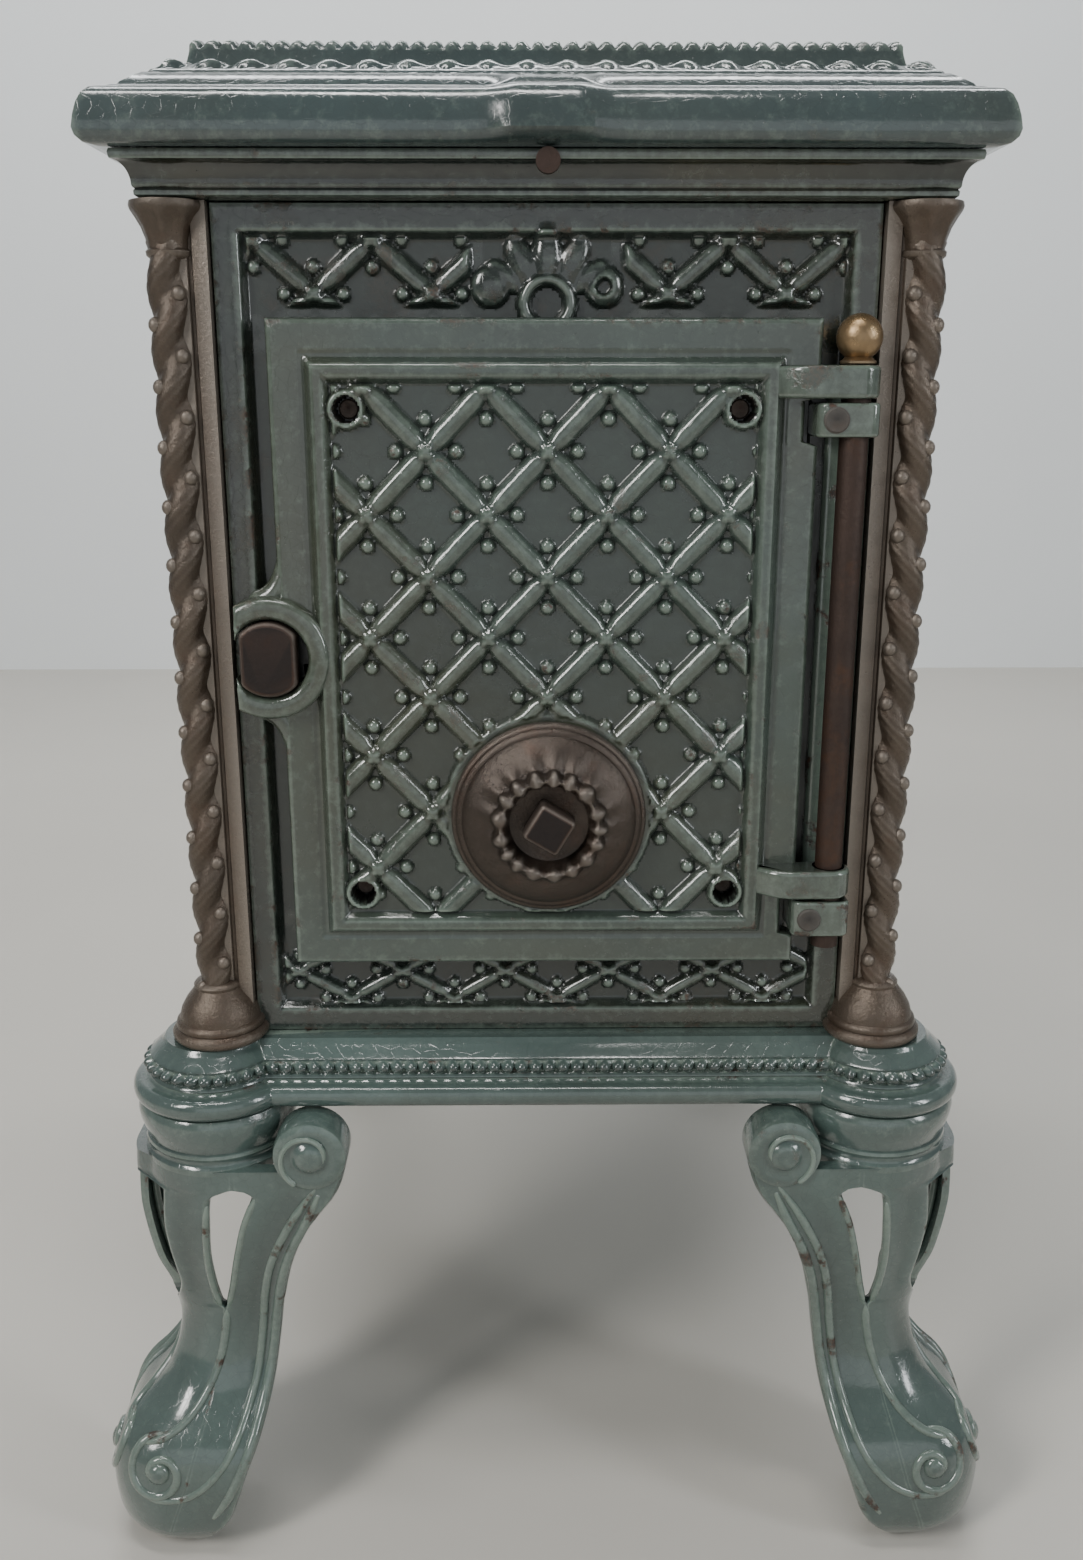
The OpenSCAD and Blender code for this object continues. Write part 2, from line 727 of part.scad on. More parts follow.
module regulator_stem() {
    y1 = front + 22;
    color(dark) union() {
        rod_y(reg_x, reg_z, stem_d / 2, front - seat_out - gap - 9, y1);
        translate([reg_x, front - seat_out - gap - 9, reg_z]) rotate([0, 31, 0])
            box(-square_w / 2, square_w / 2, -10, 0, -square_w / 2, square_w / 2);
    }
}

// friction washer behind the door: it travels with the stem and does not turn
module regulator_washer() {
    y0 = front + 12;
    color(dark) difference() {
        union() {
            rod_y(reg_x, reg_z, stem_d / 2 + 6, y0, y0 + 3);
            box(reg_x - 2, reg_x + 2, y0, y0 + 3, reg_z, reg_z + stem_d / 2 + 9);
        }
        rod_y(reg_x, reg_z, stem_d / 2 + run, y0 - 1, y0 + 5);
    }
}

module regulator_nut() {
    y0 = front + 15 + gap;
    color(dark) difference() {
        translate([reg_x, y0, reg_z]) rotate([-90, 0, 0]) cylinder(d = stem_d + 9, h = 6, $fn = 6);
        rod_y(reg_x, reg_z, stem_d / 2 + run, y0 - 1, y0 + 9);
    }
}

// ---- fire box -----------------------------------------------------------

module side_liner(s) {
    x0 = s < 0 ? -liner_x - liner_t : liner_x;
    xl = s < 0 ? -liner_x : liner_x - ledge;
    color("#8d8170") {
        box(x0, x0 + liner_t, liner_y0, liner_y1, body_z, liner_top);
        box(xl, xl + ledge, liner_y0, liner_y1 - liner_t - 1, body_z + grate_z - 14, body_z + grate_z);
    }
}

module left_liner() {
    side_liner(-1);
}

module right_liner() {
    side_liner(1);
}

module rear_liner() {
    color("#8d8170") difference() {
        box(-liner_x + seam, liner_x - seam, liner_y1 - liner_t, liner_y1, body_z, liner_top);
        rod_y(0, flue_z, flue_d / 2 - flue_wall, 0, far);
    }
}

// round-headed bolts that hold the side liners
module liner_bolts() {
    color(dark) for (s = [-1, 1]) for (k = [-1, 1]) {
        a = hx - liner_in;
        rod_x(k * liner_bolt_y, liner_bolt_z, 3.4, s < 0 ? -hx : a, s < 0 ? -a : hx);
        rod_x(k * liner_bolt_y, liner_bolt_z, 6.5, s < 0 ? -hx - 4 : hx, s < 0 ? -hx : hx + 4);
    }
}

module grate() {
    y0 = liner_y0 + 2;
    y1 = liner_y1 - liner_t - 3;
    z0 = body_z + grate_z;
    w = liner_x - 1;
    n = 9;
    pitch = (2 * w - 7) / (n - 1);
    color(dark) difference() {
        box(-w, w, y0, y1, z0, z0 + grate_h);
        for (i = [0 : n - 2]) for (k = [0, 1])
            translate([-w + 7 + i * pitch, y0 + 12 + k * ((y1 - y0) / 2 - 4), z0 - 1])
                cube([pitch - 7, (y1 - y0) / 2 - 20, grate_h + 2]);
    }
}

module ash_pan() {
    z0 = body_z + seam;
    color(dark) difference() {
        box(-pan_x, pan_x, pan_y0, pan_y1, z0, z0 + pan_h);
        box(-pan_x + pan_wall, pan_x - pan_wall, pan_y0 + pan_wall, pan_y1 - pan_wall,
            z0 + pan_wall, z0 + far);
    }
}

module ash_pan_handle() {
    z0 = body_z + pan_h;
    color(iron) difference() {
        box(-26, 26, pan_y0 - 12, pan_y0, z0 - 18, z0 - 6);
        box(-20, 20, pan_y0 - 8, pan_y0 + 1, z0 - 19, z0 - 5);
    }
}

// cast plate under the hob that sends the smoke forward before it leaves
module smoke_plate() {
    color(dark) box(-liner_x - liner_t + 2, liner_x + liner_t - 2, hy - panel_t - 120, liner_y1,
        liner_top, liner_top + 5);
}

module flue_collar() {
    color(iron) difference() {
        union() {
            rod_y(0, flue_z, flue_d / 2 + 8, hy, hy + 7);
            for (s = [-1, 1]) rod_y(s * flue_lug_x, flue_z, 10, hy, hy + 7);
            rod_y(0, flue_z, flue_d / 2, hy, hy + 7 + flue_l);
        }
        rod_y(0, flue_z, flue_d / 2 - flue_wall, hy - 1, hy + far);
        for (s = [-1, 1]) rod_y(s * flue_lug_x, flue_z, 3.5, hy - 1, hy + 20);
    }
}

module flue_bolts() {
    color(dark) for (s = [-1, 1]) {
        rod_y(s * flue_lug_x, flue_z, 3.4, hy - panel_t - 3, hy + 7);
        translate([s * flue_lug_x, hy + 7, flue_z]) rotate([-90, 0, 0]) cylinder(d = 12, h = 4.5, $fn = 6);
    }
}

base_frame();
front_left_leg();
front_right_leg();
rear_left_leg();
rear_right_leg();
front_left_pillar();
front_right_pillar();
rear_left_pillar();
rear_right_pillar();
front_panel();
rear_panel();
left_side_panel();
right_side_panel();
cornice();
cornice_bolt();
hob_plate();
hob_ring();
hob_lid();
top_cover();
cover_brackets();
cover_pins();
tie_rods();
tie_rod_nuts();
door();
door_baffle();
baffle_screws();
baffle_nuts();
hinge_pin();
hinge_finial();
lug_screws();
latch_spindle();
latch_tongue();
latch_nut();
regulator_dome();
regulator_stem();
regulator_washer();
regulator_nut();
grate();
ash_pan();
ash_pan_handle();
left_liner();
right_liner();
rear_liner();
liner_bolts();
smoke_plate();
flue_collar();
flue_bolts();
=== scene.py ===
"""A small enamelled cast-iron stove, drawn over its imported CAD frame.

Castings are surfaces on a grid of two parameters, in millimetres, and are turned into metres when
their mesh is made. +X is the right of the stove, the door faces -Y and +Z is up. "Out" is the
distance forward of the front panel's plane.
"""

import json
import math

import bpy
import numpy as np
from mathutils import Euler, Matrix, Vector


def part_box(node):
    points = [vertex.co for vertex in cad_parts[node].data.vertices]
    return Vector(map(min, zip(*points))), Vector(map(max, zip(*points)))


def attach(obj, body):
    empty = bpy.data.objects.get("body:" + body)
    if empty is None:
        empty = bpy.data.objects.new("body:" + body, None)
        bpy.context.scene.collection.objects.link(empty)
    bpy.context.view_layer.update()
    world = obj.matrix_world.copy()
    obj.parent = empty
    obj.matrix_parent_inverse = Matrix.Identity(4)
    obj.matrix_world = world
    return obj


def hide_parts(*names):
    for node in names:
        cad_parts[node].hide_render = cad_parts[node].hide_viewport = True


bl_info = {
    "name": "Enamelled Scroll-Leg Stove",
    "version": (1, 0, 0),
    "blender": (4, 5, 0),
    "location": "View3D > Sidebar > Stove",
    "description": "Adds the castings, ironwork and stage of a small enamelled stove",
    "category": "Add Mesh",
}

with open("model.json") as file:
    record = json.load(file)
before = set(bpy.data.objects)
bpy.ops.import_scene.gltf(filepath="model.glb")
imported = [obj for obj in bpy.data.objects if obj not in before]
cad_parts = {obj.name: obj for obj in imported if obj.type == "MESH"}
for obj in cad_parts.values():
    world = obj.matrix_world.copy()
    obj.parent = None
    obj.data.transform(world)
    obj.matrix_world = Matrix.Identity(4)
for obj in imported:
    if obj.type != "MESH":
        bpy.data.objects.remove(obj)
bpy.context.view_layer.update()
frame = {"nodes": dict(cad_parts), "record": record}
MM = 0.001
# two faces that meet at more than this angle have a sharp edge between them
CREASE = math.radians(42)


def extent(name):
    """Lowest and highest corner of a CAD node, in millimetres."""
    low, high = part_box(name)
    return np.array(low) / MM, np.array(high) / MM


FRONT = extent("rear_panel")[1][1] * -1
PANEL_LOW, PANEL_HIGH = extent("left_side_panel")[0][2], extent("left_side_panel")[1][2]
PANEL_X = extent("rear_panel")[1][0]
SIDE_X = extent("right_side_panel")[1][0]
BASE_LOW, BASE_HIGH = extent("base_frame")[0][2], extent("base_frame")[1][2]
DOOR = {"x0": -95.8, "x1": 93.9, "z0": 244.5, "z1": 479.5, "back": 0.4, "flange": 9.4}
OPENING = {"x0": -83.8, "x1": 81.9, "z0": 256.5, "z1": 467.5}
HINGE = (105.2, -212.0)
KNUCKLES = ((273.5, 284.5), (453.0, 464.0))
LUGS = ((258.3, 272.3), (440.3, 451.8))
LATCH = (-99.3, 363.5)
REGULATOR = (0.5, 305.0)
RING = (131.0, 198.5)
COVER_X, COVER_Y, COVER_LOW = 151.0, 222.0, 531.4
# screw holes in the corners of the door's field
HOLES = [(x, z) for x in (OPENING["x0"] + 15, OPENING["x1"] - 15)
         for z in (OPENING["z0"] + 18, OPENING["z1"] - 18)]
SIDE_BOLTS = ((110, 412), (-110, 412))
KNUCKLE_R = 7.8
# each trellis: its middle and pitch across, a crossing's height and pitch up, a bar's half width
DOOR_TRELLIS = (0, 21, 457, 21.6, 4.1)
TOP_TRELLIS = (1.0, 20.26, 505.0, 17.5, 4.0)
LOW_TRELLIS = (4.2, 20.2, 236.8, 11.9, 3.2)
SIDE_TRELLIS = (0, 21.5, 364.5, 21.5, 3.6)
COVER_TRELLIS = (0, 21.5, 0, 21.5, 3.6)
# bar and bead heights of a trellis that only marks where the high parts are, for the painted shade between
# the bars
MARK = (1.0, 0.9)


# ---- property groups ----------------------------------------------------------------


class StoveShape(bpy.types.PropertyGroup):
    """Sizes of the cast relief."""

    lattice_height: bpy.props.FloatProperty(
        name="Lattice height", description="How far the trellis bars stand out of the door's field",
        default=3.3, min=1.0, max=4.0, subtype="DISTANCE")
    bead_height: bpy.props.FloatProperty(
        name="Bead height", description="How far the beads stand out of the door's field",
        default=2.5, min=0.5, max=3.5, subtype="DISTANCE")
    field_step: bpy.props.FloatProperty(
        name="Mesh step", description="Spacing of the mesh over the door's trellis",
        default=0.72, min=0.5, max=2.0, subtype="DISTANCE")
    rope_pitch: bpy.props.FloatProperty(
        name="Rope pitch", description="Height of one turn of leaf on the corner pillars",
        default=20.3, min=12.0, max=30.0, subtype="DISTANCE")


def colour(name, text, rgb):
    """A colour property, its default given as a hex string."""
    return bpy.props.FloatVectorProperty(
        name=name, description=text, default=linear(rgb)[:3], size=3, min=0, max=1, subtype="COLOR")


def linear(rgb):
    """A hex colour as linear RGBA."""
    out = []
    for i in (1, 3, 5):
        c = int(rgb[i:i + 2], 16) / 255
        out.append(c / 12.92 if c <= 0.04045 else ((c + 0.055) / 1.055) ** 2.4)
    return (*out, 1.0)


class StoveColours(bpy.types.PropertyGroup):
    """Colours of the finishes."""

    enamel: colour("Enamel", "Main colour of the glaze", "#3e4a43")
    # besides thin glaze, this paints the highlight on raised edges
    enamel_light: colour("Thin enamel", "Glaze where it runs thin over an edge", "#7d8c80")
    # besides pooled glaze, this paints the shade in hollows and creases
    enamel_deep: colour("Pooled enamel", "Glaze where it pools in a hollow", "#232926")
    enamel_brown: colour("Smoked enamel", "Glaze browned by heat", "#3d3926")
    cover: colour("Cover enamel", "Glaze of the top cover", "#3c4949")
    rust: colour("Rust", "Bare chips and rusted edges", "#4c3323")
    iron: colour("Burnished iron", "Corner pillars", "#62564a")
    iron_dark: colour("Dark iron", "Hollows of the burnished iron", "#1a1511")
    brass: colour("Worn brass", "Ball on the hinge pin", "#a88c66")


# ---- meshes ------------------------------------------------------------------------


def steps(breaks, sizes):
    """Grid lines through every value of breaks, each gap divided into steps of about its size."""
    out = [np.array([breaks[0]])]
    for a, b, size in zip(breaks[:-1], breaks[1:], sizes):
        n = max(1, int(round(abs(b - a) / size)))
        out.append(np.linspace(a, b, n + 1)[1:])
    return np.concatenate(out)


def smooth(a, b, t):
    """0 below a, 1 above b and a cubic S between them."""
    s = np.clip((t - a) / (b - a), 0, 1)
    return s * s * (3 - 2 * s)


def dome(r, radius, height):
    """Height at distance r from the middle of a round cap: height * sqrt(1 - (r / radius)^2)."""
    return height * np.sqrt(np.clip(1 - (r / radius) ** 2, 0, 1))


def from_edge(x, z, x0, x1, z0, z1):
    """Distance in from the nearest edge of a rectangle."""
    return np.minimum(np.minimum(x - x0, x1 - x), np.minimum(z - z0, z1 - z))


def round_over(d, lip):
    """How far an edge rounded to a radius of lip has dropped at distance d in from it."""
    return lip - np.sqrt(np.clip(lip ** 2 - (lip - np.clip(d, 0, lip)) ** 2, 0, None))


def quads(nu, nv, close_u=False, close_v=False):
    """Faces of a grid of nu by nv points, wrapped round in either direction."""
    i = np.arange(nu if close_u else nu - 1)[:, None]
    j = np.arange(nv if close_v else nv - 1)[None, :]
    a, b = (i + 1) % nu, (j + 1) % nv
    return np.stack([i * nv + j, a * nv + j, a * nv + b, i * nv + b], -1).reshape(-1, 4)


def solid(points, faces, caps=(), depth=None):
    """A closed piece of a casting, turned so that its faces point outwards."""
    points = np.asarray(points, float).reshape(-1, 3)
    fans = [np.stack([np.full(len(c) - 2, c[0]), c[1:-1], c[2:]], -1) for c in caps]
    tri = np.concatenate([faces[:, [0, 1, 2]], faces[:, [0, 2, 3]], *fans])
    p = points[tri]
    volume = np.einsum("ij,ij->i", p[:, 0], np.cross(p[:, 1], p[:, 2])).sum()
    if volume < 0:
        faces = faces[:, ::-1]
        caps = [c[::-1] for c in caps]
    shade = np.ones(len(points)) if depth is None else np.asarray(depth, float).ravel()
    return points, faces, list(caps), shade


def loft(rings, wrap=False, depth=None):
    """A solid through closed rings of equal count, capped at both ends unless it wraps round."""
    rings = np.asarray(rings, float)
    k, n = rings.shape[:2]
    caps = [] if wrap else [np.arange(n)[::-1], np.arange(n) + (k - 1) * n]
    return solid(rings, quads(k, n, wrap, True), caps, depth)


def slab(xs, zs, out, back, place, depth=None):
    """A plate whose front stands at out(x, z) over a flat back, its rim straight between them."""
    x, z = np.broadcast_arrays(xs if np.ndim(xs) == 2 else xs[:, None], zs[None, :])
    top = out(x, z)
    nu, nv = x.shape
    idx = np.arange(nu * nv).reshape(nu, nv)
    rim = np.concatenate([idx[:-1, 0], idx[-1, :-1], idx[:0:-1, -1], idx[0, :0:-1]])
    front = place(x.ravel(), top.ravel(), z.ravel())
    low = place(x.ravel()[rim], np.full(len(rim), back), z.ravel()[rim])
    base = nu * nv + np.arange(len(rim))
    wall = np.stack([rim, base, np.roll(base, -1), np.roll(rim, -1)], -1)
    face = np.concatenate([quads(nu, nv)[:, ::-1], wall])
    shade = np.ones(nu * nv) if depth is None else depth(x, z).ravel()
    return solid(np.concatenate([front, low]), face, [base[::-1]], np.concatenate([shade, np.ones(len(rim))]))


def to_front(x, out, z):
    """Points of a plate on the front of the stove."""
    return np.stack([x, FRONT - out, z], -1)


def lathe(profile, centre, axis="z", n=48, swell=None, depth=None):
    """A turned solid: profile rows of [radius, height] carried round an axis through centre.

    swell(radius, height, angle) is added to the radius.
    """
    p = np.asarray(profile, float)
    a = np.arange(n) * 2 * np.pi / n
    r = p[:, :1] + np.zeros(n)
    h = p[:, 1:] + np.zeros(n)
    if swell is not None:
        r = r + np.where(r > 0.01, swell(r, h, a[None, :]), 0)
    x, y = r * np.cos(a), r * np.sin(a)
    c = np.asarray(centre, float)
    if axis == "z":
        rings = np.stack([c[0] + x, c[1] + y, c[2] + h], -1)
    elif axis == "y":
        rings = np.stack([c[0] + x, c[1] - h, c[2] + y], -1)
    else:
        rings = np.stack([c[0] + h, c[1] + x, c[2] + y], -1)
    return loft(rings, depth=None if depth is None else depth(r, h, a[None, :]))


def ball(centre, radius, n=16, squash=1.0):
    """A ball, flattened by squash along Z."""
    t = np.linspace(0, np.pi, n // 2 + 1)
    return lathe(np.stack([np.sin(t) * radius, -np.cos(t) * radius * squash], -1), centre, n=n)


def tube(path, radius, sides=10, normal=(0, -1, 0)):
    """A round bar along a path, its ends closed with half balls; radius may vary along it."""
    path = np.asarray(path, float)
    radius = np.broadcast_to(np.asarray(radius, float), len(path)).copy()
    t = np.gradient(path, axis=0)
    t /= np.linalg.norm(t, axis=1)[:, None]
    b = np.cross(t, np.asarray(normal, float))
    b /= np.linalg.norm(b, axis=1)[:, None]
    n = np.cross(b, t)
    cap = np.array([1.0, 0.86, 0.5, 0.02])
    reach = np.array([0.0, 0.5, 0.86, 1.0])
    path = np.concatenate([(path[0] - t[0] * radius[0] * reach[:, None])[:0:-1], path,
                           (path[-1] + t[-1] * radius[-1] * reach[:, None])[1:]])
    radius = np.concatenate([(radius[0] * cap)[:0:-1], radius, (radius[-1] * cap)[1:]])
    b = np.concatenate([np.repeat(b[:1], 3, 0), b, np.repeat(b[-1:], 3, 0)])
    n = np.concatenate([np.repeat(n[:1], 3, 0), n, np.repeat(n[-1:], 3, 0)])
    a = np.arange(sides) * 2 * np.pi / sides
    spoke = b[:, None] * np.cos(a)[None, :, None] + n[:, None] * np.sin(a)[None, :, None]
    return loft(path[:, None] + spoke * radius[:, None, None])


def curve(points, n=8):
    """A smooth line through points, n steps between neighbours (Catmull-Rom)."""
    p = np.asarray(points, float)
    q = np.concatenate([2 * p[:1] - p[1:2], p, 2 * p[-1:] - p[-2:-1]])
    t = (np.arange(n) / n)[None, :, None]
    a, b, c, d = (q[i:len(p) - 1 + i, None] for i in range(4))
    line = 0.5 * (2 * b + (c - a) * t + (2 * a - 5 * b + 4 * c - d) * t ** 2
                  + (3 * b - a - 3 * c + d) * t ** 3)
    return np.concatenate([line.reshape(-1, p.shape[1]), p[-1:]])


def prism(outline, low, high, axis="z", edge=1.0, rows=5):
    """An outline drawn out along an axis with rounded edges.

    outline(inset) gives the points drawn in by inset.
    """
    a = np.linspace(0, np.pi / 2, rows)
    ins = np.concatenate([edge * (1 - np.sin(a)), edge * (1 - np.sin(a[::-1]))])
    pos = np.concatenate([low + edge * (1 - np.cos(a)), high - edge * (1 - np.cos(a[::-1]))])
    rings = []
    for inset, level in zip(ins, pos):
        p = outline(inset)
        w = np.full(len(p), level)
        rings.append(np.stack({"z": [p[:, 0], p[:, 1], w], "y": [p[:, 0], w, p[:, 1]],
                               "x": [w, p[:, 0], p[:, 1]]}[axis], -1))
    return loft(rings)


def rounded(x0, x1, y0, y1, radius, n=6):
    """Outline of a rectangle with round corners, as a function of its inset."""
    def outline(inset):
        """The four quarter circles, joined."""
        a = np.linspace(0, np.pi / 2, n)
        r = max(radius - inset, 0.05)
        parts = []
        for k, (cx, cy) in enumerate(((x1 - radius, y1 - radius), (x0 + radius, y1 - radius),
                                      (x0 + radius, y0 + radius), (x1 - radius, y0 + radius))):
            turn = a + k * np.pi / 2
            parts.append(np.stack([cx + r * np.cos(turn), cy + r * np.sin(turn)], -1))
        return np.concatenate(parts)
    return outline


def block(x, y, z, edge=1.0, axis="z", corner=2.0):
    """A rounded block between pairs of coordinates."""
    if axis == "z":
        return prism(rounded(*x, *y, corner), *z, "z", edge)
    if axis == "y":
        return prism(rounded(*x, *z, corner), *y, "y", edge)
    return prism(rounded(*y, *z, corner), *x, "x", edge)


def turned(part, sx=1, sy=1, shift=(0, 0, 0)):
    """A mirrored and shifted copy of a piece."""
    points, faces, caps, shade = part
    points = points * np.array([sx, sy, 1.0]) + np.asarray(shift, float)
    if sx * sy < 0:
        return points, faces[:, ::-1], [c[::-1] for c in caps], shade
    return points, faces, caps, shade


def corners():
    """Each corner's name with the signs of its X and its Y."""
    for front, sy in (("front", -1), ("rear", 1)):
        for side, sx in (("left", -1), ("right", 1)):
            yield f"{front}_{side}", sx, sy


def arris(points, edges, normals, rounds=2):
    """How sharply the surface turns at each point, in 1/mm: above 0 on an edge, below 0 in a hollow.

    It is the mean of (v - neighbour) . n / |v - neighbour|^2 over a point's edges, smoothed.
    """
    a, b = edges[:, 0], edges[:, 1]
    d = points[a] - points[b]
    q = np.maximum((d ** 2).sum(1), 0.04)
    count = np.maximum(np.bincount(a, minlength=len(points)) + np.bincount(b, minlength=len(points)), 1)
    bend = (np.bincount(a, (d * normals[a]).sum(1) / q, len(points))
            + np.bincount(b, (-d * normals[b]).sum(1) / q, len(points))) / count
    for _ in range(rounds):
        near = np.bincount(a, bend[b], len(points)) + np.bincount(b, bend[a], len(points))
        bend = 0.4 * bend + 0.6 * near / count
    return bend


def cast(name, parts, material, body, node):
    """Joins pieces into one mesh object that rides on a body and stands for a CAD node."""
    start = np.cumsum([0] + [len(p[0]) for p in parts])
    points = np.concatenate([p[0] for p in parts])
    loops = [(p[1] + s).ravel() for p, s in zip(parts, start)]
    sizes = [np.full(len(p[1]), 4) for p in parts]
    for p, s in zip(parts, start):
        for cap in p[2]:
            loops.append(cap + s)
            sizes.append(np.array([len(cap)]))
    loops, sizes = np.concatenate(loops), np.concatenate(sizes)
    mesh = bpy.data.meshes.new(name)
    mesh.vertices.add(len(points))
    mesh.vertices.foreach_set("co", (points * MM).astype(np.float32).ravel())
    mesh.loops.add(len(loops))
    mesh.loops.foreach_set("vertex_index", loops.astype(np.int32))
    mesh.polygons.add(len(sizes))
    mesh.polygons.foreach_set("loop_start", np.concatenate([[0], np.cumsum(sizes)[:-1]]).astype(np.int32))
    mesh.update(calc_edges=True)
    mesh.validate()
    normals = np.empty(len(mesh.vertices) * 3, np.float32)
    mesh.vertices.foreach_get("normal", normals)
    edges = np.empty(len(mesh.edges) * 2, np.int32)
    mesh.edges.foreach_get("vertices", edges)
    bend = arris(points, edges.reshape(-1, 2), normals.reshape(-1, 3))
    # hollow is 1 less each point's shade value; the glaze paints shade from it
    for key, values in (("arris", bend), ("hollow", 1 - np.concatenate([p[3] for p in parts]))):
        attribute = mesh.attributes.new(key, "FLOAT", "POINT")
        attribute.data.foreach_set("value", values.astype(np.float32))
    mesh.polygons.foreach_set("use_smooth", np.ones(len(sizes), bool))
    mesh.set_sharp_from_angle(angle=CREASE)
    mesh.materials.append(bpy.data.materials[material])
    obj = bpy.data.objects.new(name, mesh)
    bpy.context.scene.collection.objects.link(obj)
    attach(obj, body)
    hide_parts(node)
    return obj


# ---- materials ---------------------------------------------------------------------


class Finish:
    """A material under construction: one method adds a node with its settings and links."""

    def __init__(self, name):
        # the frame's flat material of the same name steps aside
        flat = bpy.data.materials.get(name)
        if flat:
            flat.name = name + "_plain"
        self.material = bpy.data.materials.new(name)
        self.material.use_nodes = True
        self.tree = self.material.node_tree
        self.tree.nodes.clear()
        self.place = self.add("ShaderNodeTexCoord").outputs["Object"]

    def add(self, kind, links=None, **settings):
        """A node; settings fill its properties or sockets by name, links join sockets to outputs."""
        node = self.tree.nodes.new(kind)
        for key, value in settings.items():
            if hasattr(node, key):
                setattr(node, key, value)
            else:
                node.inputs[key.replace("_", " ")].default_value = value
        for key, source in (links or {}).items():
            self.tree.links.new(source, node.inputs[key])
        return node

    def noise(self, scale, detail=4.0, roughness=0.55, distortion=0.0):
        """Cloudy noise over the piece, scale in features per metre."""
        return self.add("ShaderNodeTexNoise", {"Vector": self.place}, Scale=scale, Detail=detail,
                        Roughness=roughness, Distortion=distortion).outputs["Fac"]

    def span(self, value, low, high, to_low=0.0, to_high=1.0):
        """A value mapped from low..high to to_low..to_high and clamped."""
        node = self.add("ShaderNodeMapRange", {"Value": value})
        for socket, number in zip(node.inputs[1:5], (low, high, to_low, to_high)):
            socket.default_value = number
        return node.outputs["Result"]

    def maths(self, operation, a, b):
        """Two values, either of them a number, put through one operation."""
        node = self.add("ShaderNodeMath", operation=operation)
        for socket, source in zip(node.inputs, (a, b)):
            if isinstance(source, (int, float)):
                socket.default_value = source
            else:
                self.tree.links.new(source, socket)
        return node.outputs[0]

    def mix(self, amount, a, b):
        """Colour a turned into colour b by amount; a and b are colours or outputs."""
        node = self.add("ShaderNodeMix", data_type="RGBA")
        for socket, source in zip((node.inputs[0], node.inputs[6], node.inputs[7]), (amount, a, b)):
            if isinstance(source, (float, tuple)):
                socket.default_value = source
            else:
                self.tree.links.new(source, socket)
        return node.outputs[2]

    def value(self, name):
        """A number kept at every point of the piece."""
        return self.add("ShaderNodeAttribute", attribute_name=name).outputs["Fac"]

    def surface(self, height, strength, distance, links, **settings):
        """The shader itself, with a bump from height."""
        bump = self.add("ShaderNodeBump", {"Height": height}, Strength=strength, Distance=distance)
        shader = self.add("ShaderNodeBsdfPrincipled", {**links, "Normal": bump.outputs[0]}, **settings)
        self.add("ShaderNodeOutputMaterial", {"Surface": shader.outputs[0]})
        return self.material


def rgba(values):
    """A colour property as linear RGBA."""
    return (*values, 1.0)


def dimmed(tone, *amounts):
    """A colour with its channels scaled, by one amount or by one for each."""
    amounts = amounts * 3 if len(amounts) == 1 else amounts
    return (*(k * v for k, v in zip(amounts, tone)), 1.0)


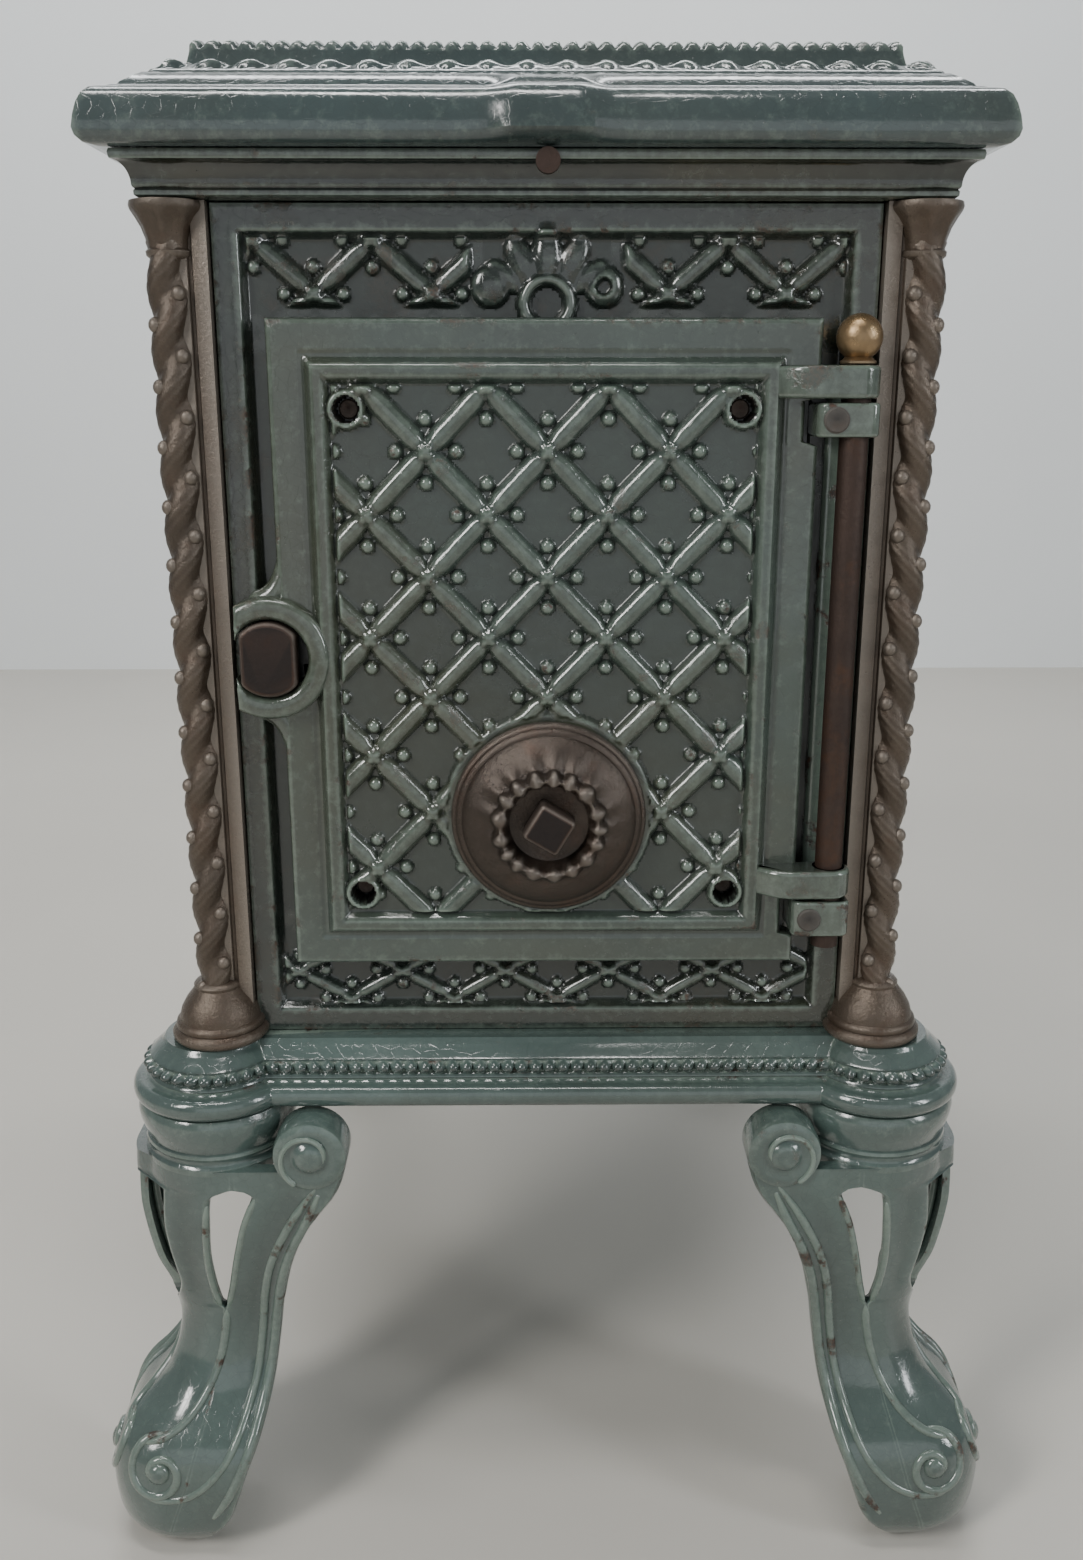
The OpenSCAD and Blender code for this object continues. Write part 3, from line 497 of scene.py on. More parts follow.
def make_enamel(name, body, light, deep, brown, rust, brownness, chips, worn=0.0):
    """Glossy glaze over iron: darker in hollows and creases, partly glaze that pools there and partly
    painted shade; paler over edges, partly glaze that runs thin and partly a painted highlight; and
    chipped to rust on the sharpest edges. Crazing is a net of fine cracks about 4 mm across.

    "hollow" is 0 on a casting's high parts, 1 in its hollows, more in a pit, where no light gets
    in and the glaze is painted near-black, and below 0 along a joint that isn't a real edge. It
    carries the painted shade. "arris" says how sharply it turns.
    """
    f = Finish(name)
    cloud = f.noise(9.0, 5.0, 0.6, 0.4)
    fleck = f.noise(260.0, 6.0, 0.65)
    grit = f.noise(900.0, 3.0, 0.6)
    tone = f.mix(f.span(cloud, 0.35, 0.68), body, f.mix(0.5, body, deep))
    tone = f.mix(f.span(f.noise(5.0, 4.0, 0.6, 1.2), 0.44, 0.7, 0.0, brownness), tone, brown)
    tone = f.mix(f.span(fleck, 0.5, 0.85, 0.0, 0.16), tone, light)
    low = f.value("hollow")
    # painted shade: darker towards the hollows, partly pooled glaze; pits painted near-black where no light
    # gets in
    tone = f.mix(f.span(low, 0.1, 1.0, 0.0, 0.75), tone, deep)
    tone = f.mix(f.span(low, 1.1, 1.6), tone, (0.004, 0.004, 0.004, 1.0))
    bend = f.maths("ADD", f.value("arris"), f.span(fleck, 0.3, 0.7, -0.035, 0.035))
    # darker in creases: partly pooled glaze, partly painted shade
    tone = f.mix(f.span(bend, -0.05, -0.28, 0.0, 0.75), tone, deep)
    # paler over edges: partly thin glaze, partly a painted highlight; none along joints marked below 0
    edge = f.maths("MULTIPLY", f.span(bend, 0.03, 0.2), f.span(low, -0.6, -0.2, 0.0, 0.6))
    tone = f.mix(edge, tone, light)
    patch = f.maths("MULTIPLY", f.span(f.noise(60.0, 6.0, 0.7), 0.60 - chips, 0.66 - chips),
                    f.span(bend, 0.02, 0.14, worn, 1.0))
    pits = f.maths("MULTIPLY", f.span(grit, 0.68, 0.72), f.span(cloud, 0.42, 0.6, 0.1, 0.9))
    bare = f.maths("MAXIMUM", patch, f.maths("MULTIPLY", pits, 0.8))
    tone = f.mix(bare, tone, f.mix(f.span(grit, 0.35, 0.65), rust, deep))
    cracks = f.add("ShaderNodeTexVoronoi", {"Vector": f.place}, feature="DISTANCE_TO_EDGE",
                   Scale=240.0).outputs["Distance"]
    line = f.span(cracks, 0.0, 0.035, 1.0, 0.0)
    tone = f.mix(f.maths("MULTIPLY", line, 0.16), tone, deep)
    rough = f.maths("ADD", f.span(f.noise(35.0, 5.0), 0.35, 0.75, 0.10, 0.24),
                   f.maths("ADD", f.maths("MULTIPLY", bare, 0.5), f.span(low, 0.1, 1.0, 0.0, 0.2)))
    height = f.maths("SUBTRACT", f.maths("ADD", f.noise(90.0, 3.0), f.maths("MULTIPLY", fleck, 0.15)),
                     f.maths("ADD", f.maths("MULTIPLY", bare, 0.6), f.maths("MULTIPLY", line, 0.06)))
    coat = f.maths("MULTIPLY", f.span(bare, 0.0, 1.0, 0.6, 0.0), f.span(low, 0.1, 1.0, 1.0, 0.25))
    return f.surface(height, 0.5, 0.0007, {"Base Color": tone, "Roughness": rough, "Coat Weight": coat},
                     IOR=1.55, Coat_Roughness=0.11, Specular_IOR_Level=0.6)


def make_iron(name, body, dark, metallic, rough_low, rough_high, grain, rust, rusty):
    """Cast or forged iron: sandy grain, dark hollows, polished edges and patches of rust."""
    f = Finish(name)
    sand = f.noise(grain, 6.0, 0.7)
    cloud = f.noise(22.0, 5.0, 0.6, 0.5)
    tone = f.mix(f.span(cloud, 0.3, 0.7), body, f.mix(0.5, body, dark))
    tone = f.mix(f.span(f.noise(48.0, 6.0, 0.7, 0.8), 0.52, 0.66, 0.0, rusty), tone, rust)
    tone = f.mix(f.span(sand, 0.35, 0.75, 0.0, 0.3), tone, dark)
    bend = f.value("arris")
    tone = f.mix(f.span(bend, -0.03, -0.3, 0.0, 0.85), tone, dark)
    tone = f.mix(f.span(bend, 0.04, 0.3, 0.0, 0.5), tone, f.mix(0.55, body, (0.55, 0.5, 0.44, 1.0)))
    rough = f.span(f.maths("ADD", sand, cloud), 0.6, 1.4, rough_low, rough_high)
    return f.surface(sand, 0.6, 0.0005, {"Base Color": tone, "Roughness": rough}, Metallic=metallic, IOR=1.6)


def make_brick(name):
    """Pale fire clay, blackened by smoke and pitted."""
    f = Finish(name)
    soot = f.span(f.noise(12.0, 5.0, 0.6), 0.35, 0.65)
    tone = f.mix(soot, linear("#a2917b"), linear("#3a342e"))
    pits = f.noise(420.0, 5.0, 0.7)
    tone = f.mix(f.span(pits, 0.55, 0.75, 0.0, 0.6), tone, linear("#5d5145"))
    return f.surface(pits, 0.8, 0.001, {"Base Color": tone}, Roughness=0.92)


def make_matt(name, rgb, spread):
    """Even matt paint for the stage, with a faint cloud in it."""
    f = Finish(name)
    tone = f.mix(f.span(f.noise(1.5, 3.0), 0.3, 0.7, 0.0, spread), linear(rgb), linear("#8f8c86"))
    return f.surface(f.noise(60.0, 2.0), 0.05, 0.0005, {"Base Color": tone}, Roughness=0.55)


SLOTS = {part["node"]: part["material_slot"] for part in frame["record"]["subparts"]}


def material_for(node):
    """The finish that a CAD node wears: its slot's own, and the body's glaze for an enamelled one."""
    slot = SLOTS[node]
    return "vitreous_enamel" if slot == "grey_green_enamel" else slot


class STOVE_OT_finishes(bpy.types.Operator):
    """Makes every finish and puts one on each CAD node"""

    bl_idname = "stove.finishes"
    bl_label = "Finishes"

    def execute(self, context):
        c = context.scene.stove_colours
        body, rust, dark = rgba(c.enamel), rgba(c.rust), rgba(c.iron_dark)
        glaze = (rgba(c.enamel_light), rgba(c.enamel_deep), rgba(c.enamel_brown), rust)
        # grey-green glaze of the door and sides, smoked brown in clouds
        make_enamel("vitreous_enamel", body, *glaze, 0.6, 0.03)
        # cleaner, bluer glaze of the base and legs
        make_enamel("leg_enamel", dimmed(body, 1.65, 1.72, 1.9), *glaze, 0.15, 0.02)
        # bluish glaze of the top cover
        make_enamel("cover_enamel", rgba(c.cover), *glaze, 0.25, 0.0)
        # glaze of the cornice, darkest from smoke
        # glaze of the cornice, a darker copy of the body's glaze: painted shade for the shadow in its cove
        make_enamel("cornice_enamel", dimmed(body, 0.15), *glaze, 0.8, 0.0)
        # dark glaze of the front panel, chipped all over
        make_enamel("worn_panel_enamel", dimmed(body, 0.35), *glaze, 0.5, 0.06, 0.15)
        # bare iron of the pillars, rubbed bright on its edges
        make_iron("burnished_iron", rgba(c.iron), dark, 0.55, 0.2, 0.45, 700.0, rust, 0.35)
        # smoother, blackened iron of the air regulator
        make_iron("regulator_iron", linear("#51473f"), dark, 0.6, 0.1, 0.26, 900.0, linear("#5b3a26"), 0.25)
        # dull cast iron of the hob, grate and flue collar
        make_iron("bare_cast_iron", linear("#3b3835"), linear("#171615"), 0.4, 0.5, 0.8, 500.0, rust, 0.4)
        # screws, pins and the latch, browned with rust
        make_iron("rusted_steel", linear("#46362e"), linear("#1f1a19"), 0.6, 0.35, 0.7, 420.0, rust, 0.7)
        # brass of the ball, dulled
        make_iron("worn_brass", rgba(c.brass), linear("#4d4238"), 0.85, 0.2, 0.42, 260.0,
                  linear("#8d7a5d"), 0.4)
        # fire clay of the liners
        make_brick("fire_brick")
        # matt paint of the stage
        make_matt("pale_floor", "#c9c5bd", 0.15)
        make_matt("pale_wall", "#eceff0", 0.08)
        for name, node in frame["nodes"].items():
            material = bpy.data.materials[material_for(name)]
            node.data.materials.clear()
            node.data.materials.append(material)
        return {"FINISHED"}


# ---- reliefs shared by the door and the panels ---------------------------------------


def trellis(x, z, grid, height, bead):
    """Trellis of crossed bars with a boss on each crossing and four beads round it.

    With u = (x - x0) / pitch_x and w = (z0 - z) / pitch_z the bars lie where u + w or u - w is an
    odd whole number. A bar's section is a flattened half ellipse, narrower towards a crossing.
    """
    x0, pitch_x, z0, pitch_z, bar = grid
    u, w = (x - x0) / pitch_x, (z0 - z) / pitch_z
    unit = math.hypot(1 / pitch_x, 1 / pitch_z)
    out = np.zeros_like(x + z)
    near = np.full_like(out, 1e9)
    for a, b in ((u + w, u - w), (u - w, u + w)):
        off = np.abs((a - 1) / 2 - np.round((a - 1) / 2)) * 2 / unit
        along = np.abs((b - 1) / 2 - np.round((b - 1) / 2)) * 2 / unit
        half = bar * (0.72 + 0.28 * smooth(1.0, 7.0, along))
        round_bar = height * np.clip(1 - (off / half) ** 2, 0, 1) ** 0.7
        out = np.maximum(out, round_bar * (0.86 + 0.14 * smooth(0.5, 6.0, along)))
        near = np.minimum(near, np.hypot(off, along))
    out += dome(near, 3.0, 1.5)
    # the crossings are where u and w are whole and their sum is odd; beads sit half way round each
    ring = np.full_like(out, 1e9)
    for du, dw in ((0.5, 0), (-0.5, 0), (0, 0.5), (0, -0.5)):
        p, q = u - du, w - dw
        s, t = (p + q - 1) / 2, (p - q - 1) / 2
        ds, dt = s - np.round(s), t - np.round(t)
        ring = np.minimum(ring, np.hypot((ds + dt) * pitch_x, (ds - dt) * pitch_z))
    return np.maximum(out, dome(ring, 2.6, bead))


def boss_ring(r, outer, inner, height, floor, ground):
    """A raised rim round a hole: a flat ring with rounded lips, and a pit down to floor."""
    rim = ground + (height - ground) * smooth(outer + 0.9, outer - 0.8, r)
    return np.where(r < inner, floor, np.where(r < inner + 0.6, np.minimum(rim, height - 0.5), rim))


def uneven(x, z, size, seed):
    """A slow waver of cast surfaces: the sum of three sines with a wavelength of about size."""
    k = 2 * np.pi / size
    return (np.sin(k * x + seed) * np.cos(0.8 * k * z + 2 * seed)
            + 0.6 * np.sin(1.7 * k * (x + 0.6 * z) + 3 * seed)
            + 0.4 * np.cos(2.9 * k * (0.7 * x - z) + seed)) / 2


# ---- door --------------------------------------------------------------------------


def door_face(x, z, shape):
    """Height of the door's front over the panel's plane.

    From the edge inwards: a rounded lip, the flat flange with a fine step, the sloping raised
    frame, and the trellis field with its corner bosses and the regulator's seat.
    """
    d = from_edge(x, z, DOOR["x0"], DOOR["x1"], DOOR["z0"], DOOR["z1"])
    flange = DOOR["flange"] + 0.15 * uneven(x, z, 60, 1.0)
    out = flange - round_over(d, 2.2)
    out = out - 0.5 * smooth(10.6, 11.4, d) * smooth(13.4, 12.4, d)
    out = out + 3.9 * smooth(12.8, 15.6, d) + 0.5 * dome(d - 17.2, 2.2, 1.0)
    field = DOOR["flange"] + 1.0
    out = np.where(d > 18, field + (out - field) * smooth(22.2, 19.2, d), out)
    inside = smooth(21.3, 22.8, d)
    out = out + inside * (trellis(x, z, DOOR_TRELLIS, shape.lattice_height, shape.bead_height)
                          + 0.05 * uneven(x, z, 31, 4.0))
    for cx, cz in HOLES:
        r = np.hypot(x - cx, z - cz)
        rim = boss_ring(r, 6.7, 4.3, field + 3.1, 2.5, field - 1)
        out = np.where(r < 7.6, np.maximum(np.where(r < 6, 0, out), rim), out)
    r = np.hypot(x - REGULATOR[0], z - REGULATOR[1])
    seat = 13.1 - 1.2 * smooth(37.6, 39.0, r)
    out = np.where(r < 39.0, np.maximum(seat, out * (r > 37.5)), out)
    out = np.where((r < 27) & (r > 12), 1.2, out)
    # a pit behind the latch spindle's head
    return np.where(np.hypot(x - LATCH[0], z - LATCH[1]) < 14.0, 3.0, out)


def door_shade(x, z):
    """Painted shade of the door: 1 on its high parts, less in the trellis field between the bars, below 0 in
    its pits, which are painted near-black.
    """
    d = from_edge(x, z, DOOR["x0"], DOOR["x1"], DOOR["z0"], DOOR["z1"])
    bars = trellis(x, z, DOOR_TRELLIS, *MARK)
    high = 1 - smooth(20.5, 22.5, d) * (1 - np.clip(bars * 1.5, 0, 1)) * 0.8
    pit = np.hypot(x - LATCH[0], z - LATCH[1]) < 14.5
    for cx, cz in HOLES:
        r = np.hypot(x - cx, z - cz)
        high = np.where(r < 7, 1.0, high)
        pit = pit | (r < 4.6)
    return np.where(pit, -0.8, high)


def build_door(shape):
    """The door slab, cut back at the panel's hinge lugs, its hinge knuckles and its latch collar.

    The grid is fine over the frame's mouldings and the trellis, and coarse over the flat flange.
    """
    step = shape.field_step
    x = steps([DOOR["x0"], DOOR["x0"] + 2.2, -86, -79.5, -72.5, 70.6, 77.5, 84,
               DOOR["x1"] - 2.2, DOOR["x1"]], [0.4, 2.5, 0.8, 0.5, step, 0.5, 0.8, 2.5, 0.4])
    z = steps([DOOR["z0"], DOOR["z0"] + 2.2, 254, 260.5, 267.5, 456.5, 463.5, 470,
               DOOR["z1"] - 2.2, DOOR["z1"]], [0.4, 2.5, 0.8, 0.5, step, 0.5, 0.8, 2.5, 0.4])
    grid_x = np.repeat(x[:, None], len(z), 1)
    near_edge = DOOR["x1"] - 13
    notch = np.zeros_like(z)
    for low, high in LUGS:
        notch = np.maximum(notch, smooth(low - 3.2, low - 1.6, z) * smooth(high + 1.4, high + 0.45, z))
    shift = (DOOR["x1"] - (HINGE[0] - 16.4)) * notch
    grid_x = grid_x - smooth(near_edge, DOOR["x1"], grid_x) * shift[None, :]

    def out(gx, gz):
        """The door's face, read where the column stood before it was shifted."""
        gap = shift[None, :] * smooth(near_edge, DOOR["x1"], x)[:, None]
        return door_face(gx + gap, gz, shape)

    parts = [slab(grid_x, z, out, DOOR["back"], to_front, door_shade)]
    for low, high in KNUCKLES:
        parts.append(prism(knuckle_arm, low, high, "z", 1.7, 6))
        eye = np.array([[0.0, low], [KNUCKLE_R - 1.8, low], [KNUCKLE_R, low + 1.6], [KNUCKLE_R, high - 1.6],
                        [KNUCKLE_R - 1.8, high], [0, high]])
        parts.append(lathe(eye, (*HINGE, 0), n=40))
    parts.append(latch_collar())
    parts += collar_fillets()
    return cast("door_casting", parts, "vitreous_enamel", "door", "door")


def knuckle_arm(inset):
    """Plan of a hinge knuckle: an arm that swells from the door's frame to a round eye."""
    a = np.linspace(math.radians(90), math.radians(-80), 16)
    r = KNUCKLE_R - inset
    eye = np.stack([HINGE[0] + r * np.cos(a), HINGE[1] + r * np.sin(a)], -1)
    t = np.linspace(1, 0, 10)
    start = 70.5 + inset
    rise = 3.5 * (1 - smooth(0, 0.3, t)) - 9.0 * smooth(0.0, 0.55, t)
    sweep = np.stack([start + (HINGE[0] - 71) * t, HINGE[1] + 1.2 + inset + rise], -1)
    tail = np.array([[start, FRONT - 7.0 - inset], [DOOR["x1"] - 2, FRONT - 7.0 - inset]])
    return np.concatenate([eye, sweep[1:], tail])


def latch_collar():
    """A thick C round the spindle's head: a rounded section carried round the spindle's axis,
    its outer radius limited on the left by the flat that clears the corner pillar."""
    reach = math.radians(150)
    a = np.linspace(-reach, reach, 121)
    flat = 12.0
    outer = np.where(np.cos(a) < -flat / 22.3, flat / np.maximum(-np.cos(a), 0.05), 22.3)
    inner = np.full_like(a, 13.7)
    s = np.linspace(0, 2 * np.pi, 28, endpoint=False)
    mid, half = (outer + inner) / 2, np.maximum((outer - inner) / 2, 0.25)
    # section: a superellipse, rounded at the front and square at the back
    cs = np.sign(np.cos(s)) * np.abs(np.cos(s)) ** 0.6
    sn = np.sign(np.sin(s)) * np.abs(np.sin(s)) ** 0.6
    r = mid[:, None] + half[:, None] * cs
    high = np.where(half > 1, 15.2, 13.0 + half)
    depth = (high[:, None] + 0.6) / 2 + (high[:, None] - 0.6) / 2 * sn
    x, z = LATCH[0] + r * np.cos(a)[:, None], LATCH[1] + r * np.sin(a)[:, None]
    return loft(np.stack([x, FRONT - depth, z], -1))


def collar_fillets():
    """Concave webs that carry the collar into the door's left edge, above and below."""
    parts = []
    for side in (1, -1):
        t = np.linspace(0, 1, 14)[:, None]
        low = np.array([DOOR["x0"] + 3.0, LATCH[1] + side * 34.0])
        bend = np.array([DOOR["x0"] + 1.0, LATCH[1] + side * 22.0])
        high = np.array([LATCH[0] - 3.0, LATCH[1] + side * 19.0])
        path = (1 - t) ** 2 * low + 2 * t * (1 - t) * bend + t ** 2 * high
        points = np.stack([path[:, 0], np.full(len(t), FRONT - 5.6), path[:, 1]], -1)
        parts.append(tube(points, np.linspace(3.4, 5.0, len(t)), 12))
    return parts


class STOVE_OT_door(bpy.types.Operator):
    """Adds the door with its trellis, hinge knuckles and latch collar"""

    bl_idname = "stove.door"
    bl_label = "Door"

    def execute(self, context):
        build_door(context.scene.stove_shape)
        return {"FINISHED"}


# ---- panels ------------------------------------------------------------------------


def panel_border(x, z, half, low, high, sink):
    """Flat border, a sloping moulding 10 mm in from the edge and a sunk floor."""
    d = from_edge(x, z, -half, half, low, high)
    return 0.25 * dome(d - 8.2, 1.6, 1.0) - round_over(d, 0.9) - sink * smooth(8.6, 12.2, d)


def palmette(x, z):
    """Shell ornament: a tall middle lobe, two leaning lobes and a scroll each side, and a half ring."""
    out = np.zeros_like(x + z)
    for cx, cz, lean, wide, tall, high in ((0, 499, 0, 5.6, 10.5, 3.9), (-8.0, 497, 0.5, 5.2, 10.5, 3.2),
                                           (8.0, 497, -0.5, 5.2, 10.5, 3.2), (-14, 493, 1.0, 4.2, 8.5, 2.6),
                                           (14, 493, -1.0, 4.2, 8.5, 2.6)):
        p, q = x - cx, z - cz
        u, v = p * math.cos(lean) + q * math.sin(lean), -p * math.sin(lean) + q * math.cos(lean)
        out = np.maximum(out, dome(np.hypot(u / wide, v / tall), 1.0, high))
    for cx, hole in ((-19.5, 0.0), (19.5, 2.6)):
        r = np.hypot(x - cx, z - 490)
        out = np.maximum(out, dome(r, 7.0, 3.4) - 3.0 * smooth(hole + 0.6, hole - 0.6, r) * (hole > 0))
    r = np.hypot(x, z - 484.5)
    return np.maximum(out * smooth(6.0, 8.0, r), dome(r - 8.0, 2.6, 4.0))


def front_face(x, z, shape):
    """The front panel: border, two trellis bands and the shell between the top band's halves."""
    out = panel_border(x, z, PANEL_X, PANEL_LOW, PANEL_HIGH, 4.0)
    shell = palmette(x, z)
    mask = smooth(103.5, 101.5, np.abs(x)) * smooth(506.5, 505.2, z) * smooth(222.5, 223.8, z)
    upper = trellis(x, z, TOP_TRELLIS, shape.lattice_height, shape.bead_height)
    upper = upper * smooth(483, 485.5, z) * smooth(25, 28, np.abs(x))
    lower = trellis(x, z, LOW_TRELLIS, shape.lattice_height, shape.bead_height)
    lower = lower * smooth(246, 245, z)
    relief = np.maximum(mask * np.maximum(upper, lower), shell * smooth(509, 507, z))
    pad = ((x > DOOR["x0"] + 2) & (x < DOOR["x1"] - 2) & (z > DOOR["z0"] + 2) & (z < DOOR["z1"] - 2))
    return np.where(pad, -0.05, out + relief + 0.12 * uneven(x, z, 37, 2.0) * smooth(9, 14, np.abs(out) * 4))


def front_shade(x, z):
    """Painted shade of the front panel: 1 on its high parts, less on the sunk floor."""
    d = from_edge(x, z, -PANEL_X, PANEL_X, PANEL_LOW, PANEL_HIGH)
    upper = trellis(x, z, TOP_TRELLIS, *MARK) * (z > 470) * (np.abs(x) > 22)
    lower = trellis(x, z, LOW_TRELLIS, *MARK) * (z < 260)
    high = np.clip(np.maximum(np.maximum(upper, lower), palmette(x, z) / 3), 0, 1)
    return 1 - smooth(9.5, 12.5, d) * (1 - high) * 0.85


def build_front_panel(shape):
    """Top and bottom bands and two stiles round the door's opening, and the two hinge lugs.

    A dark screw shows on each lug.
    """
    def out(x, z):
        """The panel's relief."""
        return front_face(x, z, shape)

    band_x = steps([-PANEL_X, -PANEL_X + 1, -105.5, -101, 101, 105.5, PANEL_X - 1, PANEL_X],
                   [0.4, 2, 0.6, 0.8, 0.6, 2, 0.4])
    parts = []
    for z in (steps([OPENING["z1"], 479, 506, 508.8, PANEL_HIGH - 1, PANEL_HIGH], [4, 0.75, 0.6, 2, 0.4]),
              steps([PANEL_LOW, PANEL_LOW + 1, 220.6, 225, 246, OPENING["z0"]], [0.4, 2, 0.6, 0.75, 3])):
        parts.append(slab(band_x, z, out, -9, to_front, front_shade))
    stile_z = steps([OPENING["z0"], OPENING["z1"]], [3.0])
    for x in (steps([-PANEL_X, -PANEL_X + 1, -105.5, -101, OPENING["x0"]], [0.4, 2, 0.6, 2]),
              steps([OPENING["x1"], 101, 105.5, PANEL_X - 1, PANEL_X], [2, 0.6, 2, 0.4])):
        parts.append(slab(x, stile_z, out, -9, to_front, front_shade))
    lug_x = HINGE[0] - 13.7
    head = [[0, 0], [4.4, 0], [4.4, 7.6], [3.8, 8.2], [0, 8.4]]
    screws = []
    for low, high in LUGS:
        parts.append(block((lug_x, HINGE[0] + KNUCKLE_R), (HINGE[1] - 6.5, FRONT + 4), (low, high),
                           1.3, "z", 3.6))
        screws.append(lathe(head, (lug_x + 6.2, HINGE[1] + 0.6, 0.5 * (low + high)), "y", 28))
    cast("lug_screws_forging", screws, "bare_cast_iron", "stove", "lug_screws")
    parts.append(block((98, 105), (FRONT - 0.6, FRONT + 6), (LUGS[0][0] - 3, LUGS[1][1] + 3), 0.8, "z", 2))
    return cast("front_panel_casting", parts, "worn_panel_enamel", "stove", "front_panel")


def side_face(half):
    """A side panel's relief: the same border and trellis at a wider pitch."""
    def out(x, z):
        """Border and trellis at a point of the side."""
        d = from_edge(x, z, -half, half, PANEL_LOW, PANEL_HIGH)
        bars = trellis(x, z, SIDE_TRELLIS, 2.6, 2.2) * smooth(13.5, 15.5, d)
        return panel_border(x, z, half, PANEL_LOW, PANEL_HIGH, 3.0) + bars
    return out


def side_shade(half):
    """Painted shade of a side panel: 1 on its high parts, less on its sunk floor."""
    def depth(x, z):
        """The painted shade at a point of the side: 1 where it is high."""
        d = from_edge(x, z, -half, half, PANEL_LOW, PANEL_HIGH)
        bars = trellis(x, z, SIDE_TRELLIS, *MARK)
        return 1 - smooth(12, 15, d) * (1 - np.clip(bars, 0, 1)) * 0.75
    return depth


def build_side_panel(name, side):
    """A side panel with bolt holes; its outer face looks along X."""
    half = extent(name)[1][1]
    x = steps([-half, -half + 1, -half + 8, -half + 15, half - 15, half - 8, half - 1, half],
              [0.5, 3, 0.8, 1.35, 0.8, 3, 0.5])
    z = steps([PANEL_LOW, PANEL_LOW + 1, PANEL_LOW + 8, PANEL_LOW + 15, PANEL_HIGH - 15, PANEL_HIGH - 8,
               PANEL_HIGH - 1, PANEL_HIGH], [0.5, 3, 0.8, 1.35, 0.8, 3, 0.5])
    relief = side_face(half)

    def out(u, v):
        """The relief, with a flat round spot under each bolt."""
        bolt = np.minimum(*(np.hypot(u - cu, v - cv) for cu, cv in SIDE_BOLTS))
        return np.where(bolt < 8.5, 0.0, relief(u, v))

    def place(u, o, v):
        """From along, out and up on the side to X, Y and Z."""
        return np.stack([side * (SIDE_X + o), u, v], -1)

    part = slab(x, z, out, -9, place, side_shade(half))
    return cast(name + "_casting", [part], "vitreous_enamel", "stove", name)


class STOVE_OT_panels(bpy.types.Operator):
    """Adds the front panel with its trellis bands, shell and hinge lugs, and the side panels"""

    bl_idname = "stove.panels"
    bl_label = "Panels"

    def execute(self, context):
        build_front_panel(context.scene.stove_shape)
        build_side_panel("left_side_panel", -1)
        build_side_panel("right_side_panel", 1)
        return {"FINISHED"}


# ---- base --------------------------------------------------------------------------


BEAD_PITCH = 5.4
SKIRT_X, SKIRT_Y, BASTION = 147.0, 220.0, 33.0
# half width and half depth of the hollow under the base's floor
POCKET_X, POCKET_Y = 103.2, 213.0


def base_ring(inset, n_x=300, n_y=470, n_arc=130):
    """Plan of the base drawn in by inset: straight skirts joined by round bastions. Points run the
    same way round at every inset."""
    x, y, r = SKIRT_X - inset, SKIRT_Y - inset, BASTION - inset
    a0 = math.acos(np.clip((x - RING[0]) / r, -1, 1))
    b0 = math.asin(np.clip((y - RING[1]) / r, -1, 1))
    end_y = RING[1] - r * math.sin(a0)
    end_x = RING[0] - r * math.cos(b0)
    arc = np.linspace(-a0, math.pi - b0, n_arc)
    corner = np.stack([RING[0] + r * np.cos(arc), RING[1] + r * np.sin(arc)], -1)
    side = np.stack([np.full(n_y, x), np.linspace(-end_y, end_y, n_y)], -1)
    back = np.stack([np.linspace(end_x, -end_x, n_x), np.full(n_x, y)], -1)
    half = np.concatenate([side[:-1], corner[:-1], back[:-1], (corner * [-1, 1])[:0:-1]])
    return np.concatenate([half, -half])


